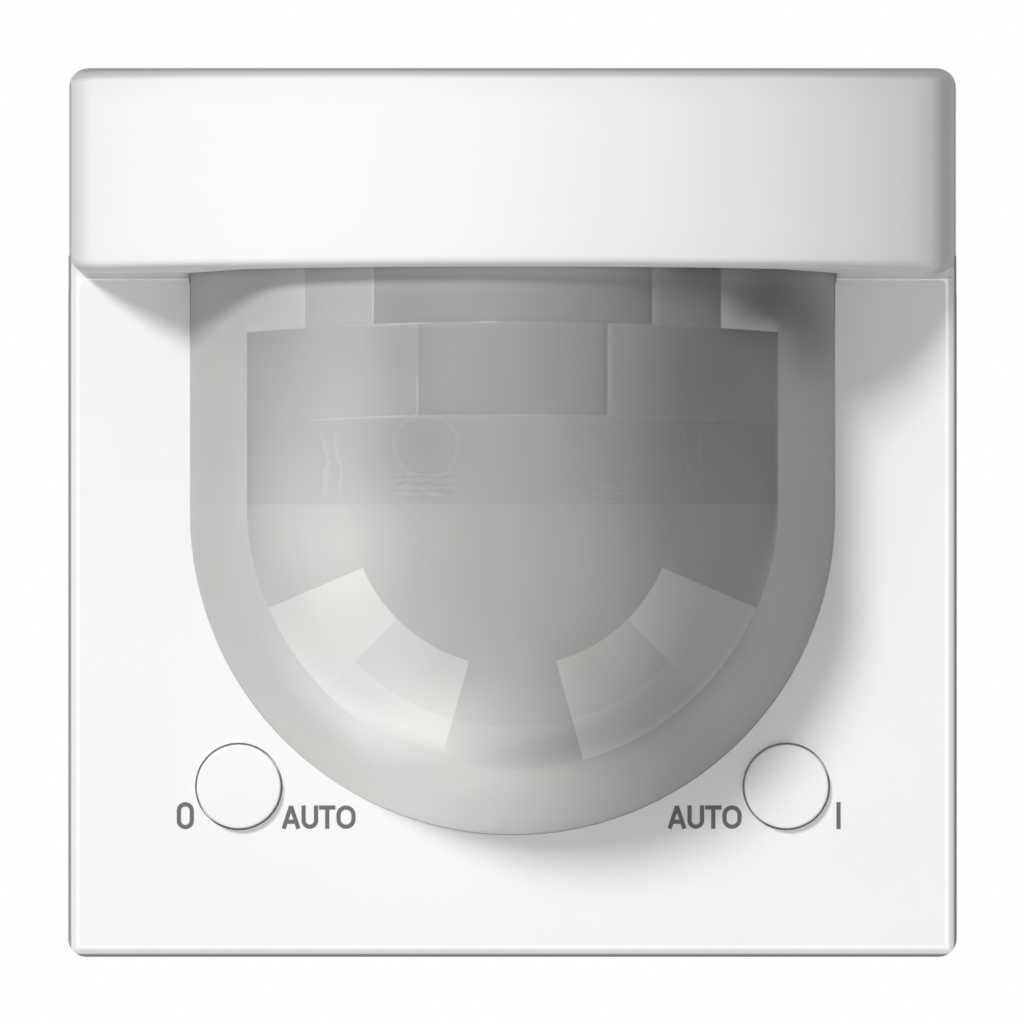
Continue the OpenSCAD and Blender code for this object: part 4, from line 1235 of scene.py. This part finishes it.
def build_floor():
    """A square floor a little below the object, nearly white to the camera but taking its shadow."""
    level = cad_box[0][2] - FLOOR_DROP
    corners = np.array([[-1, -1], [1, -1], [1, 1], [-1, 1]]) * FLOOR_HALF
    points = np.column_stack([corners, np.full(4, level)])
    floor = make_piece("floor", points, [[0, 1, 2, 3]])
    finish = Finish("floor_paint", Base_Color=(0.85, 0.85, 0.85, 1), Roughness=0.9)
    seen = finish.node("ShaderNodeLightPath", {}, {}, "Is Camera Ray")
    white = finish.node("ShaderNodeEmission", {}, {"Color": (1, 1, 1, 1), "Strength": 1.0})
    paint = Value(finish, finish.shader.outputs[0])
    mixed = finish.node("ShaderNodeMixShader", {}, {0: seen * FLOOR_WHITE, 1: paint, 2: white})
    finish.tree.links.new(mixed.socket, finish.tree.nodes["Material Output"].inputs["Surface"])
    floor.data.materials.append(finish.material)


build_floor()

# %% World light

EVEN_LIGHT = 0.365
FRONT_LIGHT = 0.10
RIGHT_LEAN = 0.15


def build_world():
    """White to camera, gloss and glass; to the rest an even light, stronger in front and on the right.

    The strength in a direction (x, y, z) is (EVEN + FRONT * max(-y, 0)^2) * (1 + LEAN * x).
    """
    world = bpy.data.worlds.new("studio")
    bpy.context.scene.world = world
    studio = Network(world)
    shown = studio.node("ShaderNodeLightPath", {}, {}, "Is Camera Ray")
    for other in ("Is Glossy Ray", "Is Transmission Ray"):
        shown = shown.math("MAXIMUM", studio.node("ShaderNodeLightPath", {}, {}, other))
    towards = studio.node("ShaderNodeTexCoord", {}, {}, "Generated")
    side, depth = (studio.node("ShaderNodeSeparateXYZ", {}, {0: towards}, axis) for axis in "XY")
    front = (0 - depth).math("MAXIMUM", 0.0)
    strength = (EVEN_LIGHT + FRONT_LIGHT * front * front) * (1 + RIGHT_LEAN * side)
    soft, white = (
        studio.node("ShaderNodeBackground", {}, {"Color": (1, 1, 1, 1), "Strength": level})
        for level in (strength, 1.0)
    )
    mixed = studio.node("ShaderNodeMixShader", {}, {0: shown, 1: soft, 2: white})
    studio.tree.links.new(mixed.socket, studio.tree.nodes["World Output"].inputs["Surface"])
    print("world light made")


build_world()

# %% Key lamp

KEY_TOWARDS = (-0.409, -0.723, 0.557)
KEY_DISTANCE, KEY_SIZE, KEY_LEVEL = 3.0, 0.7, 0.70


def add_lamp(name, towards, distance, size, level):
    """A round lamp in a direction from the front; level is what it adds to a white face turned to it.

    A lamp of power P at distance d lights a facing surface with P / (pi d^2), and a white surface
    then shows that divided by pi.
    """
    towards = np.array(towards) / np.linalg.norm(towards)
    lamp = bpy.data.lights.new(name, "AREA")
    lamp.shape = "DISK"
    lamp.size = size
    lamp.energy = level * np.pi**2 * distance**2
    holder = add_object(name, lamp)
    holder.location = towards * distance
    holder.rotation_mode = "QUATERNION"
    holder.rotation_quaternion = holder.location.to_track_quat("Z", "Y")
    print(name, "at", np.round(holder.location, 2), round(lamp.energy, 1), "W")


add_lamp("key_lamp", KEY_TOWARDS, KEY_DISTANCE, KEY_SIZE, KEY_LEVEL)

# %% Camera

VIEW_WIDTH = 80.62
VIEW_DISTANCE = 1000.0
VIEW_AIM = (-0.04, 0.05)
SENSOR_WIDTH, CLIP = 36.0, (0.05, 20.0)


def build_camera():
    """Looks straight at the front, with VIEW_WIDTH across the picture at the plate's face."""
    camera = bpy.data.cameras.new("camera")
    camera.sensor_width = SENSOR_WIDTH
    camera.lens = SENSOR_WIDTH * VIEW_DISTANCE / VIEW_WIDTH
    camera.clip_start, camera.clip_end = CLIP
    holder = add_object("camera", camera)
    holder.location = stand(VIEW_AIM[0], VIEW_AIM[1], FACE + VIEW_DISTANCE)
    holder.rotation_euler = (np.pi / 2, 0, 0)
    bpy.context.scene.camera = holder
    print("camera lens", round(camera.lens, 1), "mm")


build_camera()
bpy.context.scene.view_settings.view_transform = "Standard"
